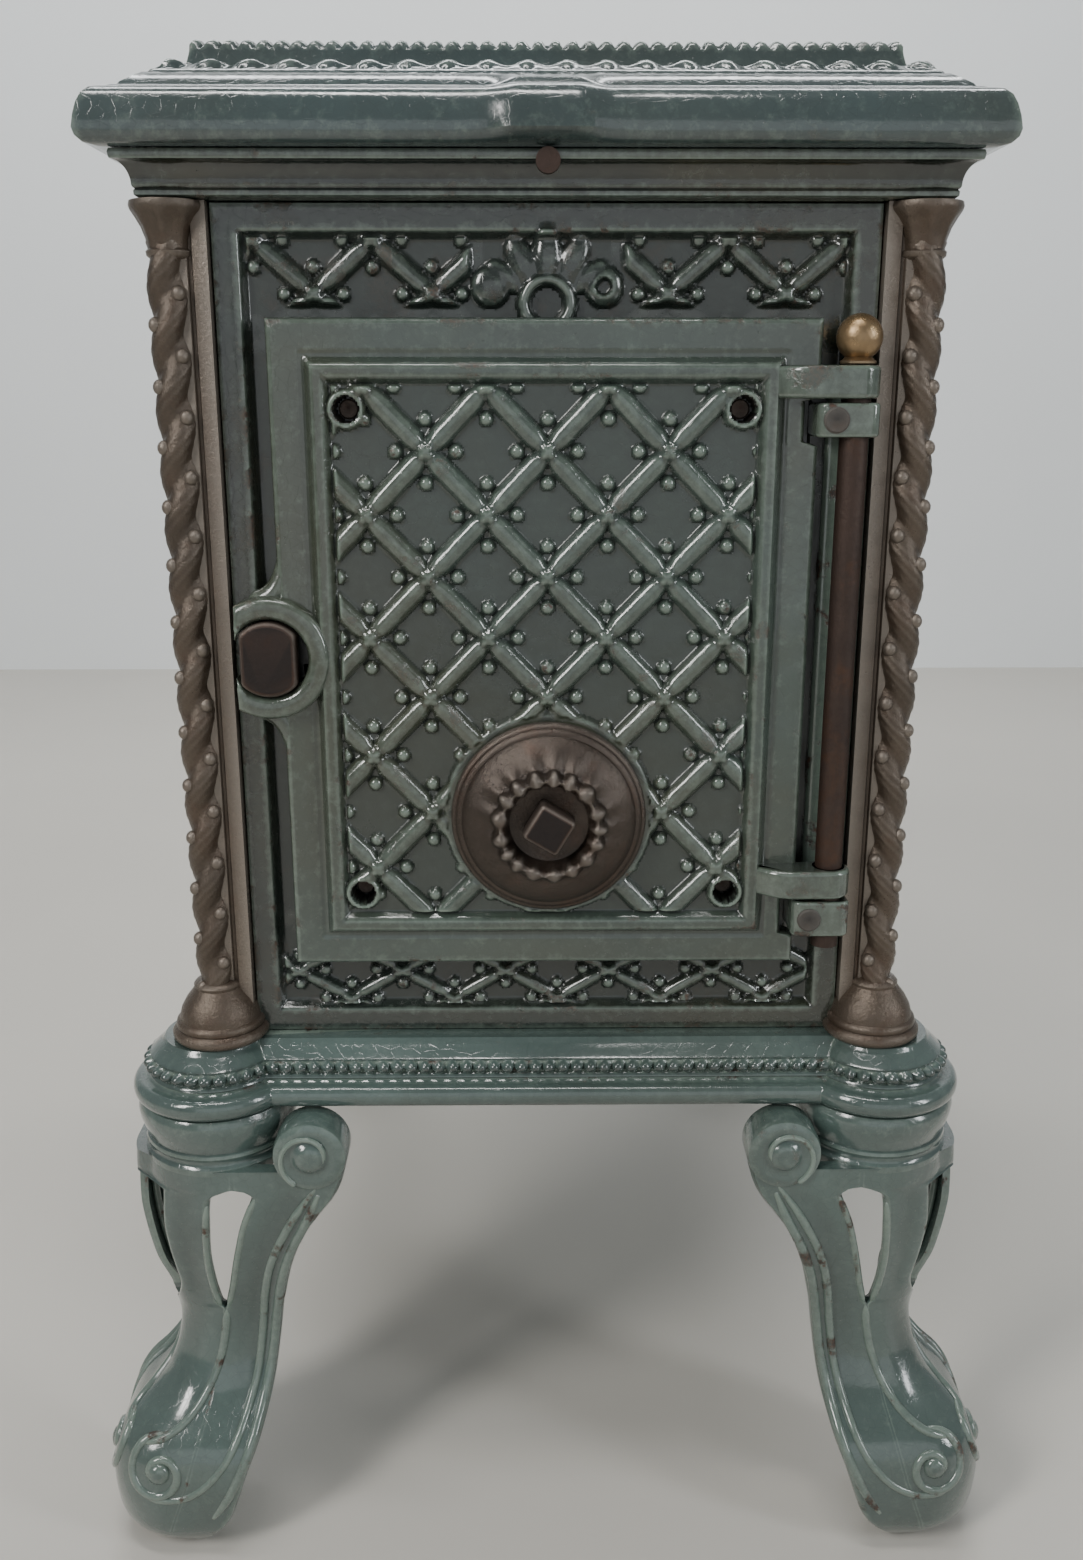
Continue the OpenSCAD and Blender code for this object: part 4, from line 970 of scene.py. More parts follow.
def build_base():
    """The base: its moulded section carried round the plan, with a row of beads.

    Downwards: a fillet, a sloping band, a fine line, the bead row in a hollow, a line, a cove
    and the big lower torus. The underside is hollow below a floor.
    """
    high, low = BASE_HIGH, BASE_LOW
    section = [(16, high), (13.6, high - 0.1), (13, high - 0.8), (12.6, high - 1.6), (11.8, high - 2.3),
               (9.6, high - 4.2), (8.3, high - 5.6), (7.5, high - 6.2), (7.7, high - 7.0)]
    rows = len(section)
    section += [(7.9 - 0.25 * math.sin(math.pi * k / 8), high - 7.4 - 4.4 * k / 8) for k in range(9)]
    section += [(7.2, high - 12.2), (6.4, high - 12.8), (6.2, high - 13.5), (6.9, high - 14.3)]
    section += [(6.9 - 0.5 * k, high - 14.3 - 0.35 * k) for k in range(1, 4)]
    section += [(3.4 - 3.3 * math.sin(math.radians(t)), low + 4.4 + 4.2 * math.cos(math.radians(t)))
                for t in range(0, 181, 18)]
    section += [(9, low), (25, low)]
    rings = []
    for inset, z in section:
        p = base_ring(inset)
        rings.append(np.concatenate([p, np.full((len(p), 1), z)], 1))
    rings = np.array(rings)
    run = np.linalg.norm(np.roll(rings[rows + 4], -1, 0) - rings[rows + 4], axis=1)
    along = np.concatenate([[0], np.cumsum(run)[:-1]])
    total = run.sum()
    pitch = total / round(total / BEAD_PITCH)
    off = along - np.round(along / pitch) * pitch
    centre = high - 9.6
    outward = rings[rows, :, :2] - rings[0, :, :2]
    outward /= np.maximum(np.linalg.norm(outward, axis=1), 1e-6)[:, None]
    shades = []
    for k in range(rows, rows + 9):
        up = rings[k, :, 2] - centre
        push = dome(np.hypot(off, up), 2.5, 3.2)
        rings[k, :, :2] += outward * push[:, None]
        # painted shade: the hollow round each bead is painted darker
        shades.append(0.7 + 0.3 * smooth(0.0, 1.2, push))
    flat = rings[-1].copy()
    pocket = []
    for z in (low, BASE_HIGH - 7):
        q = flat.copy()
        q[:, 0] = np.clip(q[:, 0], -POCKET_X, POCKET_X)
        q[:, 1] = np.clip(q[:, 1], -POCKET_Y, POCKET_Y)
        q[:, 2] = z
        pocket.append(q)
    rings = np.concatenate([rings, pocket])
    points, faces, caps, shade = loft(rings)
    shade[rows * len(off):(rows + 9) * len(off)] = np.ravel(shades)
    return cast("base_casting", [(points, faces, caps, shade)], "leg_enamel", "stove", "base_frame")


# ---- legs --------------------------------------------------------------------------


def along_z(points):
    """A value that changes smoothly with height, given as (height, value) from the floor up."""
    line = curve(np.array(points, float), 8)
    return lambda z: np.interp(z, line[:, 0], line[:, 1])


LEG_OUTER = along_z([(0, 36), (4, 41), (12, 46), (23, 47.4), (35, 47), (45, 44.6), (52, 40), (58, 33),
                     (65, 27), (74, 22.8), (84, 20.8), (94, 20.6), (105, 22.3), (116, 24.8), (128, 27.2),
                     (141, 29), (155, 29.6), (166, 29.8)])
LEG_INNER = along_z([(0, 11), (8.5, 4), (17, -3), (27, -7), (39, -11), (52, -16), (64, -19), (84, -22),
                     (98, -24), (107, -26), (121, -29.5), (135, -35), (145, -41.5), (153, -47.5), (160, -51),
                     (166, -52.8)])
WINDOW_IN = along_z([(99, -1.2), (101, -2.0), (112, -4.4), (124, -7), (133, -9), (142, -11.6), (149, -14.2),
                     (154, -15.8), (157, -13)])
WINDOW_OUT = along_z([(99, -1.0), (101, 0.5), (112, 1.6), (126, 2.2), (140, 1.4), (150, 0.6), (154, -0.8),
                      (157, -6)])


def leg_corner(z):
    """Radius of the rounded corner between a leg's two faces."""
    return np.interp(z, [0, 20, 45, 70, 100, 140, 166], [26, 25, 22, 14, 15, 22, 29.8])


def leg_strip(start, end, heights, columns, thick, always_free):
    """A strip of a leg between two edges, as a closed bar with a hollow back.

    start and end give each edge's place round the leg at each height: the distance from the
    ring's centre along the face, where the two faces are joined by a quarter turn whose centre
    is one corner radius in. A row runs over the fluted front, round the edge, and back inside. An edge is
    rounded over where it is free: at the window, and all the way where always_free says so for
    it. The flute's middle is painted darker, a painted shade. A joined edge is marked so that no
    pale edge, part thin glaze and part painted highlight, is painted on it.
    """
    t = np.linspace(0, 1, columns)
    rows, shade = [], []
    for z in heights:
        s = start(z) + (end(z) - start(z)) * t
        width = abs(end(z) - start(z))
        opened = float(smooth(98.0, 103.0, z) * smooth(158.0, 155.0, z))
        flute = np.sin(np.pi * t) ** 2 * float(smooth(40.0, 80.0, z) * smooth(162.0, 150.0, z))
        # painted shade: the flute's middle is darker; a joined edge gets 2.0, which stops the pale edge tint
        drop, joined = 1.5 * flute, np.concatenate([1 - 0.35 * flute, np.ones(columns)])
        for always, edge in zip(always_free, (np.abs(s - s[0]), np.abs(s - s[-1]))):
            free = 1.0 if always else opened
            drop = drop + round_over(edge, max(0.01, min(2.4, width / 3) * free))
            near = np.where((edge < 0.01) & (free < 0.5), 2.0, 1.0)
            joined = np.where(np.concatenate([near, near[::-1]]) > 1, 2.0, joined)
        front = leg_section(z, s, drop)
        back = leg_section(z, s[::-1], thick(z))
        rows.append(np.concatenate([front, back]))
        shade.append(joined)
    points, faces, caps, plain_shade = loft(np.array(rows))
    return points, faces, caps, np.concatenate([np.ravel(shade), plain_shade[len(rows) * 2 * columns:]])


def leg_reach(z):
    """How far out a leg's faces stand at a height, and the radius of the corner between them."""
    reach = LEG_OUTER(z)
    return reach, np.minimum(leg_corner(z), reach + 4)


def leg_section(z, s, inset):
    """Points round a leg's outer face at height z.

    s is the signed length from the corner's diagonal: over the quarter turn it is an arc, past it
    the flat face. inset moves a point inwards along the face's normal. The side swells a little
    at the window.
    """
    reach, r = leg_reach(z)
    quarter = r * math.pi / 4
    angle = np.clip(s / r, -math.pi / 4, math.pi / 4) + math.pi / 4
    flat = s - np.clip(s, -quarter, quarter)
    rr = r - inset
    bulge = 4.2 * smooth(86.0, 118.0, z) * smooth(4.0, 12.0, -s)
    x = reach - r + rr * np.cos(angle) - np.where(flat > 0, flat, 0) + bulge
    y = reach - r + rr * np.sin(angle) + np.where(flat < 0, flat, 0)
    return np.stack([x, y, np.full_like(x, z)], -1)


def on_face(z, a):
    """The signed length along a leg's section whose distance along the front face is a."""
    reach, r = leg_reach(z)
    return float(r * math.pi / 4 + (reach - r - a))


def leg_depth(x, z):
    """How far out a leg's front face stands at a distance x across it: flat, then the round corner."""
    reach, r = leg_reach(z)
    return reach - r + np.sqrt(np.clip(r ** 2 - np.clip(x - (reach - r), 0, 0.93 * r) ** 2, 0, None))


def leg_line(points, radius, lift=-0.9):
    """A raised line on a leg's front face through (across, height) points, and its twin on the side."""
    line = curve(points, 6)
    path = np.stack([line[:, 0], leg_depth(line[:, 0], line[:, 1]) + lift, line[:, 1]], -1)
    taper = np.interp(np.linspace(0, 1, len(path)), [0, 0.08, 0.9, 1], [0.5, 1, 1, 0.6])
    one = tube(path, 1.2 * radius * taper, 10, (0, 1, 0))
    return [one, swapped(one)]


def swapped(part):
    """A piece mirrored across a leg's diagonal."""
    points, faces, caps, shade = part
    return points[:, [1, 0, 2]], faces[:, ::-1], [c[::-1] for c in caps], shade


def spiral(centre, start_radius, turns, n=40, start=0.0, side=1):
    """Points of a scroll that winds in to its centre at a steady rate."""
    t = np.linspace(0, 1, n)
    r = start_radius * (1 - 0.78 * t)
    a = start + side * turns * 2 * np.pi * t
    return np.stack([centre[0] + r * np.cos(a), centre[1] + r * np.sin(a)], -1)


# the raised lines of a leg's face as (across, height) points, each with its radius
LEG_LINES = (
    # down the inner edge to the sole
    ([(-42, 155), (-37, 143.5), (-29.5, 128), (-24.5, 112), (-21.6, 96), (-19.2, 78), (-16, 62),
      (-12.5, 50), (-7.5, 38), (-2.5, 28), (3, 20)], 1.7),
    # beside it, sweeping out over the foot
    ([(-41, 158), (-31, 143), (-22, 124), (-17.6, 106), (-15.4, 88), (-13, 70), (-8.5, 55),
      (-2, 43), (7, 33.5), (16, 29), (25, 29), (32, 32)], 1.5),
    # from the window's foot to the top of the toe
    ([(-1.5, 98), (-0.5, 88), (2, 76), (6.5, 65), (13, 57), (21, 52.5), (29, 50.0)], 1.6),
    # along the window's inner and outer edges
    ([(-17.6, 154), (-12.4, 141), (-8.4, 125), (-5.2, 110), (-2.4, 99)], 1.2),
    ([(0.8, 99.5), (2.8, 112), (3.4, 126), (2.6, 140), (1.6, 150)], 1.2))
VOLUTE = (-39.6, 172.6)
TOE_SCROLL = (24, 40)


def build_leg_parts():
    """One leg about its ring's centre, its outer corner towards +X +Y.

    Three strips: the front face, the side face and the round corner between them. The corner's
    strip leaves a window in the front face and a narrower slit in the side.
    """
    window = (99, 157.5)
    body = np.concatenate([np.linspace(0.0, 98.5, 84), np.linspace(99.2, 150, 44), np.linspace(151, 157, 9),
                           np.linspace(158, 166, 7)])

    def thick(z):
        """Wall of the leg: nearly solid in the foot, thin beside the window."""
        return np.interp(z, [0, 30, 60, 80, 99, 110, 150, 160], [22, 20, 10, 6.5, 5.0, 3.6, 3.6, 6.0])

    def split(z):
        """Where the front strip and the corner strip meet below and above the window."""
        return on_face(z, np.interp(z, [0, 15, 35, 60, 80, 99, 157, 166], [24, 20, 13, 6, 2, -1.1, -9, -9]))

    def inner(z):
        """The window's inner edge."""
        return on_face(z, float(WINDOW_IN(z))) if window[0] < z < window[1] else split(z)

    def outer(z):
        """The window's outer edge."""
        return on_face(z, float(WINDOW_OUT(z))) if window[0] < z < window[1] else split(z)

    def far(z):
        """The leg's inner edge."""
        return on_face(z, float(LEG_INNER(z)))

    def slit(z):
        """How far the slit in the side is open, 0 to 1."""
        return float(smooth(89.0, 114.0, z) * smooth(158.0, 155.5, z))

    def seam(z):
        """Where the side strip begins: at the end of the round corner."""
        return float(leg_corner(z)) * math.pi / 4 - 2.5 * slit(z)

    def edge(z):
        """The corner strip's edge: on the seam, and past the corner's middle where the slit is open."""
        return -seam(z) * (1 - slit(z)) + 2.5 * slit(z)
    parts = [leg_strip(inner, far, body, 30, thick, (False, True)),
             leg_strip(lambda z: -far(z), lambda z: -seam(z), body, 48, thick, (True, False)),
             leg_strip(edge, outer, body, 64, thick, (False, False))]
    ring_low, top = 162.0, BASE_LOW
    ring = [[0, ring_low + 2], [22, ring_low + 2], [27, ring_low], [29.3, ring_low + 0.6],
            [30.0, ring_low + 2.6], [29.8, ring_low + 4.6], [28.9, ring_low + 5.4], [28.4, ring_low + 6.6],
            [28.8, ring_low + 8.0], [29.5, ring_low + 9.0], [29.2, ring_low + 10.2],
            [28.6, ring_low + 10.6], [28.9, ring_low + 12.0], [30.2, ring_low + 15.2],
            [31.2, ring_low + 18.6], [31.6, ring_low + 21.6], [31.3, ring_low + 23.8],
            [30.2, ring_low + 25.4], [28.6, top - 0.25], [0, top - 0.25]]
    parts.append(lathe(ring, (0, 0, 0), n=112))
    disc = [[0, 16], [14.4, 16], [14.4, 28.6], [13.9, 30.2], [12.2, 31.2], [9.6, 31.3], [7.6, 30.6],
            [6.4, 30.9], [5.4, 32.2], [4.0, 33.0], [2.2, 33.3], [0, 33.2]]
    volute = lathe(np.array(disc) * [1, -1], (VOLUTE[0], 0, VOLUTE[1]), "y", 48)
    parts += [volute, swapped(volute)]
    for line, radius in LEG_LINES:
        parts += leg_line(line, radius)
    scroll = spiral(TOE_SCROLL, 13.0, 1.35, 46, math.radians(95), -1)
    parts += leg_line(scroll, 1.6, -0.6)
    eye = lathe(np.array([[0, 40], [5.0, 40], [4.8, 45.6], [3.6, 47.2], [2.0, 47.9], [0, 48.1]]) * [1, -1],
                (TOE_SCROLL[0], 0, TOE_SCROLL[1]), "y", 24)
    parts += [eye, swapped(eye)]
    bead = spiral(VOLUTE, 12.6, 0.9, 40, math.radians(-60), 1)
    path = np.stack([bead[:, 0], np.full(len(bead), 31.2), bead[:, 1]], -1)
    scroll_line = tube(path, 1.1, 8, (0, 1, 0))
    parts += [scroll_line, swapped(scroll_line)]
    return parts


class STOVE_OT_base(bpy.types.Operator):
    """Adds the beaded base and the four scroll legs"""

    bl_idname = "stove.base"
    bl_label = "Base and legs"

    def execute(self, context):
        build_base()
        parts = build_leg_parts()
        for corner, sx, sy in corners():
            here = [turned(p, sx, sy, (sx * RING[0], sy * RING[1], 0)) for p in parts]
            node = corner + "_leg"
            cast(node + "_casting", here, "leg_enamel", "stove", node)
        return {"FINISHED"}


# ---- pillars -----------------------------------------------------------------------


def build_pillar_parts(pitch):
    """One pillar in its corner's frame, the body's corner at the origin and the outside at +X +Y.

    The column's radius at angle a and height z is 6.0 + 1.5 * |cos(a - pi * z / pitch)|^1.4: two
    leaves wound round it, with a ball in each hollow between them.
    """
    low, high = PANEL_LOW, PANEL_HIGH
    parts = []

    def stem(inset):
        """The pillar's square core with its two grooves."""
        p = np.array([[4, 4], [4, -5.6], [2.9, -6.1], [2.9, -7.1], [4, -7.6], [4, -12.7], [-12.7, -12.7],
                      [-12.7, 4], [-7.6, 4], [-7.1, 2.9], [-6.1, 2.9], [-5.6, 4]], float)
        return p * (1 - inset / 12)

    parts.append(prism(stem, low, high, "z", 0.3, 3))
    z = np.linspace(low + 20, high - 12, 300)

    def wound(r, h, a):
        """Two strands wound round the core, ribbed along their backs."""
        turn = np.abs(np.cos(a - np.pi * h / pitch)) ** 1.4
        rib = 0.35 * np.cos(6 * (a - np.pi * h / pitch)) ** 2
        return 1.9 * turn + rib * turn - 0.6

    profile = np.stack([np.full(len(z), 5.7), z], -1)
    profile[0, 0] = profile[-1, 0] = 3.0
    parts.append(lathe(profile, (1.6, 1.6, 0), n=56, swell=wound))
    for k in range(int((high - low - 44) / pitch) + 1):
        for way in (0.25, 0.75):
            level = low + 24 + (k + (way - 0.25) + 0.5) * pitch - (low + 24) % pitch
            angle = way * math.pi
            centre = (1.6 + 6.0 * math.cos(angle), 1.6 + 6.0 * math.sin(angle), level)
            parts.append(ball(centre, 2.5, 14, 1.1))
    foot = [[0, low + 0.2], [17.6, low + 0.2], [18.5, low + 1.2], [18.6, low + 2.9], [17.6, low + 4.4],
            [16.8, low + 4.9], [17.1, low + 5.7], [16.7, low + 7.2], [15.6, low + 8.0], [15.4, low + 9.2],
            [14.6, low + 12.2], [12.6, low + 15.8], [10.4, low + 18.6], [9.2, low + 20.4], [9.4, low + 21.6],
            [8.6, low + 22.6], [6.5, low + 23.4], [0, low + 23.4]]
    parts.append(lathe(foot, (1, 1, 0), n=72))
    head = [[0, high - 19], [6.4, high - 18.6], [7.8, high - 17.4], [8.0, high - 16.0], [7.2, high - 15.2],
            [7.6, high - 12], [8.8, high - 8.4], [10.6, high - 5.2], [12.2, high - 3.0], [12.6, high - 1.8],
            [12.3, high - 0.3], [0, high - 0.3]]
    parts.append(lathe(head, (0.6, 0.6, 0), n=64,
                       swell=lambda r, h, a: 0.35 * np.cos(8 * a) * smooth(high - 17, high - 10, h)
                       * smooth(high - 2, high - 5, h)))
    return parts


class STOVE_OT_pillars(bpy.types.Operator):
    """Adds the four corner pillars with their leaf-wound columns"""

    bl_idname = "stove.pillars"
    bl_label = "Pillars"

    def execute(self, context):
        parts = build_pillar_parts(context.scene.stove_shape.rope_pitch)
        for corner, sx, sy in corners():
            here = [turned(p, sx, sy, (sx * SIDE_X, sy * -FRONT, 0)) for p in parts]
            node = corner + "_pillar"
            cast(node + "_casting", here, "burnished_iron", "stove", node)
        return {"FINISHED"}


# ---- top ---------------------------------------------------------------------------


def mitred(section, half_x, half_y, step=1.4, shape=None, wrap=False):
    """A section of [outset, height] rows carried round a rectangle with mitred corners.

    shape(row, u, v) may add to a row: it gives extra outset and height where u is the distance
    from the middle of a side and v is 0 on the front, 1 right, 2 back and 3 left. With wrap the
    section closes on itself.
    """
    n_x, n_y = int(2 * half_x / step), int(2 * half_y / step)
    rings = []
    for row, (outset, z) in enumerate(section):
        sides = []
        for v, (n, half, other) in enumerate(((n_x, half_x, half_y), (n_y, half_y, half_x),
                                              (n_x, half_x, half_y), (n_y, half_y, half_x))):
            t = np.linspace(-1, 1, n, endpoint=False)
            u = t * (half + outset)
            extra, rise = shape(row, t * half, v) if shape else (0 * t, 0 * t)
            o = other + outset + extra
            xyz = {0: (u, -o), 1: (o, u), 2: (-u, o), 3: (-o, -u)}[v]
            sides.append(np.stack([xyz[0], xyz[1], z + rise], -1))
        rings.append(np.concatenate(sides))
    return loft(np.array(rings), wrap)


def build_cornice():
    """The cornice: a fillet and a deep cove under a square lip; inside it a ledge for the hob."""
    low, high = PANEL_HIGH + 0.2, PANEL_HIGH + 14.2
    cove = [(9.6 + 5.2 * (1 - math.cos(math.radians(t))), low + 3.6 + 7.4 * math.sin(math.radians(t)))
            for t in range(0, 91, 9)]
    section = ([(-14, low), (8.2, low), (9.1, low + 0.7), (9.2, low + 2.0), (8.7, low + 2.6),
                (9.3, low + 3.0)]
               + cove + [(15.0, high - 2.4), (15.2, high - 1.2), (14.8, high), (-9, high), (-9, high - 9),
                         (-17, high - 9), (-17, low)])
    # the cornice's glaze is darkened: painted shade for the shadow in its cove
    return cast("cornice_casting", [mitred(section, SIDE_X, -FRONT, 4.0)], "cornice_enamel", "stove",
                "cornice")


def build_cover():
    """The hinged top cover.

    Upwards: a vertical face with a raised tab in the middle of the front, two fine lines, a band,
    a wavy moulding, a hollow band and a beaded crest round the sunk, trellised top.
    """
    z0 = COVER_LOW
    rows = [(-14, z0), (-6, z0), (-2.4, z0 + 0.7), (-0.6, z0 + 2.4), (0, z0 + 4.6), (-0.6, z0 + 8.5),
            (-1.6, z0 + 12.2), (-3.0, z0 + 15.2), (-5.2, z0 + 17.2), (-7.4, z0 + 17.9), (-8.6, z0 + 17.5),
            (-9.4, z0 + 18.3), (-10.6, z0 + 18.9), (-11.8, z0 + 18.6), (-13, z0 + 20.2), (-17, z0 + 23.0),
            (-19, z0 + 24.2), (-20.4, z0 + 24.4), (-21.2, z0 + 25.4), (-22.4, z0 + 25.9)]
    wave_first = len(rows)
    rows += [(-24 - 0.9 * k, z0 + 26.6 + 2.2 * math.sin(math.pi * k / 6)) for k in range(7)]
    wave_last = len(rows)
    rows += [(-30, z0 + 27.8), (-31, z0 + 29.6), (-31.6, z0 + 31.8), (-31.9, z0 + 33.2)]
    crest_first = len(rows)
    rows += [(-32 - 0.62 * k, z0 + 33.6 + 1.1 * math.sin(math.pi * k / 7)) for k in range(8)]
    crest_last = len(rows)
    rows += [(-38, z0 + 34.4), (-42, z0 + 34.4), (-46, z0 + 33.6), (-47, z0 + 31.0)]
    face_rows = (3, 14)
    bead_pitch, wave_pitch = 7.4, 15.5
    beads_x, beads_y = round(2 * COVER_X / bead_pitch), round(2 * COVER_Y / bead_pitch)
    waves_x, waves_y = round(2 * COVER_X / wave_pitch), round(2 * COVER_Y / wave_pitch)

    def relief(row, u, v):
        """Waves of 1.5 cos and beads along their own rows, and the tab in the middle of the front."""
        half = COVER_X if v in (0, 2) else COVER_Y
        extra, rise = np.zeros_like(u), np.zeros_like(u)
        if wave_first <= row < wave_last:
            n = waves_x if v in (0, 2) else waves_y
            push = np.cos(np.pi * n * (u / half + 1))
            middle = math.sin(math.pi * (row - wave_first) / 6)
            extra = extra + 1.5 * push * (1 - 0.4 * middle)
            rise = rise + 0.7 * push * middle
        if crest_first <= row < crest_last:
            n = beads_x if v in (0, 2) else beads_y
            off = (u / half + 1) / 2 * n
            off = np.abs(off - np.round(off)) * bead_pitch
            rise = rise + dome(np.hypot(off, (row - crest_first - 3.5) * 0.72), 3.1, 2.2)
        if v == 0 and face_rows[0] <= row <= face_rows[1]:
            shoulder = smooth(22.0, 9.0, np.abs(u)) + 0.2 * smooth(34, 18, np.abs(u))
            fade = min(1.0, (row - 2) / 2) * min(1.0, (15 - row) / 3)
            extra = extra + 2.6 * shoulder * fade
            rise = rise + 1.9 * smooth(22, 10, np.abs(u)) * max(0.0, (row - 7) / 5) * fade
        return extra, rise

    inner = [(-47.5, z0 + 25.5), (-40, z0 + 24.5), (-8, z0 + 11), (-8, z0 + 6), (-14, z0 + 2)]
    # the underside is a second, hollow face: the section doubles back inside the skin
    shell = mitred([(-14, z0)] + rows[1:] + [(-47.4, z0 + 30.6), (-60, z0 + 30.6), (-60, z0 + 25.6)]
                   + inner, COVER_X, COVER_Y, 1.5,
                   lambda row, u, v: relief(row, u, v) if row < len(rows) else (0 * u, 0 * u), True)
    top_x, top_y = COVER_X - 46, COVER_Y - 46
    x = steps([-top_x, -top_x + 12, top_x - 12, top_x], [2.0, 1.4, 2.0])
    y = steps([-top_y, -top_y + 12, top_y - 12, top_y], [2.0, 1.4, 2.0])

    def top_out(u, v):
        """The trellis in the sunk top, and a low step round it."""
        d = np.minimum(top_x - np.abs(u), top_y - np.abs(v))
        return 0.5 + trellis(u, v, COVER_TRELLIS, 2.2, 1.8) * smooth(10, 12, d) + 1.6 * dome(d - 7, 2, 1)

    top = slab(x, y, top_out, -5.0, lambda u, o, v: np.stack([u, v, z0 + 31 + o], -1))
    parts = [shell, top]
    for x0, x1 in ((-105, -91), (91, 105)):
        eye = np.array([[0.0, x0], [6, x0], [7, x0 + 1.2], [7, x1 - 1.2], [6, x1], [0, x1]])
        parts.append(lathe(eye, (0, COVER_Y + 8, COVER_LOW + 9.5), "x", 36))
        parts.append(block((x0, x1), (COVER_Y - 4, COVER_Y + 8), (COVER_LOW + 4.5, COVER_LOW + 14.5), 1.0))
    return cast("cover_casting", parts, "cover_enamel", "cover", "top_cover")


class STOVE_OT_top(bpy.types.Operator):
    """Adds the coved cornice and the hinged top cover"""

    bl_idname = "stove.top"
    bl_label = "Cornice and cover"

    def execute(self, context):
        build_cornice()
        build_cover()
        return {"FINISHED"}


# ---- ironwork ----------------------------------------------------------------------


def build_regulator():
    """The air regulator: a turned dome whose hub is a ring of folded leaves.

    The leaves add 1.6 * |cos(8.5 a)| to the radius and height of the hub, uneven from one to the next.
    """
    profile = np.array([[0, 0.2], [35.0, 0.2], [35.75, 0.9], [35.6, 3.0], [34.6, 4.0], [34.0, 4.1],
                        [33.6, 4.9], [32.4, 5.6], [31.7, 5.7], [31.2, 6.6], [29.2, 8.2], [26.6, 9.8],
                        [24.2, 11.0], [22.4, 11.9], [21.2, 12.3], [20.4, 12.9], [20.2, 14.0], [20.0, 15.2],
                        [19.4, 16.4], [18.5, 17.2], [17.5, 17.5], [16.6, 17.1], [15.8, 16.0], [15.2, 14.2],
                        [14.7, 11.6], [14.3, 9.3], [13.0, 9.0], [0, 9.0]])

    def leaf(a):
        """0 between two petals and 1 along the middle of one."""
        return 0.5 + 0.5 * np.cos(17 * a + 0.7 * np.sin(3 * a + 1) + 0.5 * np.sin(5 * a))

    def swell(r, h, a):
        """Petals on the dome, deeper on its crown than on its flank."""
        hub = smooth(11.6, 13.4, h) * smooth(13.5, 15.5, r)
        crown = 0.75 + 0.25 * np.sin(a)
        return hub * (2.2 * leaf(a) - 0.8) * crown * np.where(r > 17.5, 1.0, -0.7)

    part = lathe(profile, (REGULATOR[0], FRONT - 13.9, REGULATOR[1]), "y", 204, swell)
    points, faces, caps, shade = part
    dx, dz = points[:, 0] - REGULATOR[0], points[:, 2] - REGULATOR[1]
    r, a = np.hypot(dx, dz), np.arctan2(dz, dx)
    skirt = smooth(28.5, 22.0, r) * smooth(19.5, 21.5, r) * (0.35 + 0.65 * smooth(-0.4, 0.9, np.sin(a)))
    crest = smooth(15.0, 16.4, r) * smooth(21.2, 19.5, r)
    points[:, 1] -= leaf(a) * (1.5 * skirt + 0.9 * crest) * (points[:, 1] < FRONT - 20)
    parts = [(points, faces, caps, shade)]
    cast("regulator_casting", parts, "regulator_iron", "regulator", "regulator_dome")


def build_stem():
    """The regulator's threaded stem and its bevelled square end, turned 31 degrees."""
    front = FRONT - 13.9 - 9
    square = rounded(-7.15, 7.15, -7.15, 7.15, 1.6, 4)

    def turned_square(inset):
        """The square end of the stem, turned with the knob."""
        p = square(inset)
        c, s = math.cos(math.radians(31)), math.sin(math.radians(31))
        return np.stack([REGULATOR[0] + c * p[:, 0] + s * p[:, 1],
                         REGULATOR[1] - s * p[:, 0] + c * p[:, 1]], -1)

    shaft = lathe([[0, -22], [7, -22], [7, 22.9], [0, 22.9]], (REGULATOR[0], FRONT, REGULATOR[1]), "y", 40)
    parts = [prism(turned_square, front - 10, front + 0.5, "y", 1.8, 6), shaft]
    cast("regulator_stem_forging", parts, "rusted_steel", "regulator", "regulator_stem")


def build_spindle():
    """The latch spindle's head, round with two flats and worn corners, on its turned shank."""
    def outline(inset):
        """A circle with two flats."""
        a = np.linspace(0, 2 * np.pi, 56, endpoint=False)
        r = 13.5 - inset
        x = np.clip(r * np.cos(a), -10 + inset, 10 - inset)
        return np.stack([LATCH[0] + x, LATCH[1] + r * np.sin(a)], -1)

    y0 = FRONT - DOOR["flange"]
    shank = lathe([[0, -27], [4, -27], [4, -10.5], [6, -10.5], [6, 7], [0, 7]],
                  (LATCH[0], FRONT, LATCH[1]), "y", 40)
    parts = [prism(outline, y0 - 7, y0 + 3, "y", 1.8, 6), shank]
    cast("latch_spindle_forging", parts, "rusted_steel", "latch", "latch_spindle")


def build_screws():
    """The baffle's four screws, their small heads sunk at the bottom of the door's holes."""
    profile = [[0, -18], [2.5, -18], [2.5, 2.2], [3.5, 2.2], [3.5, 3.2], [2.9, 3.8], [0, 3.9]]
    parts = [lathe(profile, (x, FRONT, z), "y", 28) for x, z in HOLES]
    cast("baffle_screws_forging", parts, "rusted_steel", "door", "baffle_screws")


def build_finial():
    """The ball on the hinge pin, on a small moulded foot."""
    z = KNUCKLES[1][1]
    a = np.linspace(math.radians(-62), math.pi / 2, 22)
    sphere = np.stack([7.8 * np.cos(a), z + 9.0 + 7.8 * np.sin(a)], -1)
    foot = [[0, z], [5.0, z], [6.0, z + 0.5], [6.2, z + 1.2], [5.2, z + 1.9]]
    profile = np.concatenate([foot, sphere[1:]])
    part = lathe(profile, (*HINGE, 0), n=40)
    cast("hinge_finial_ball", [part], "worn_brass", "door", "hinge_finial")


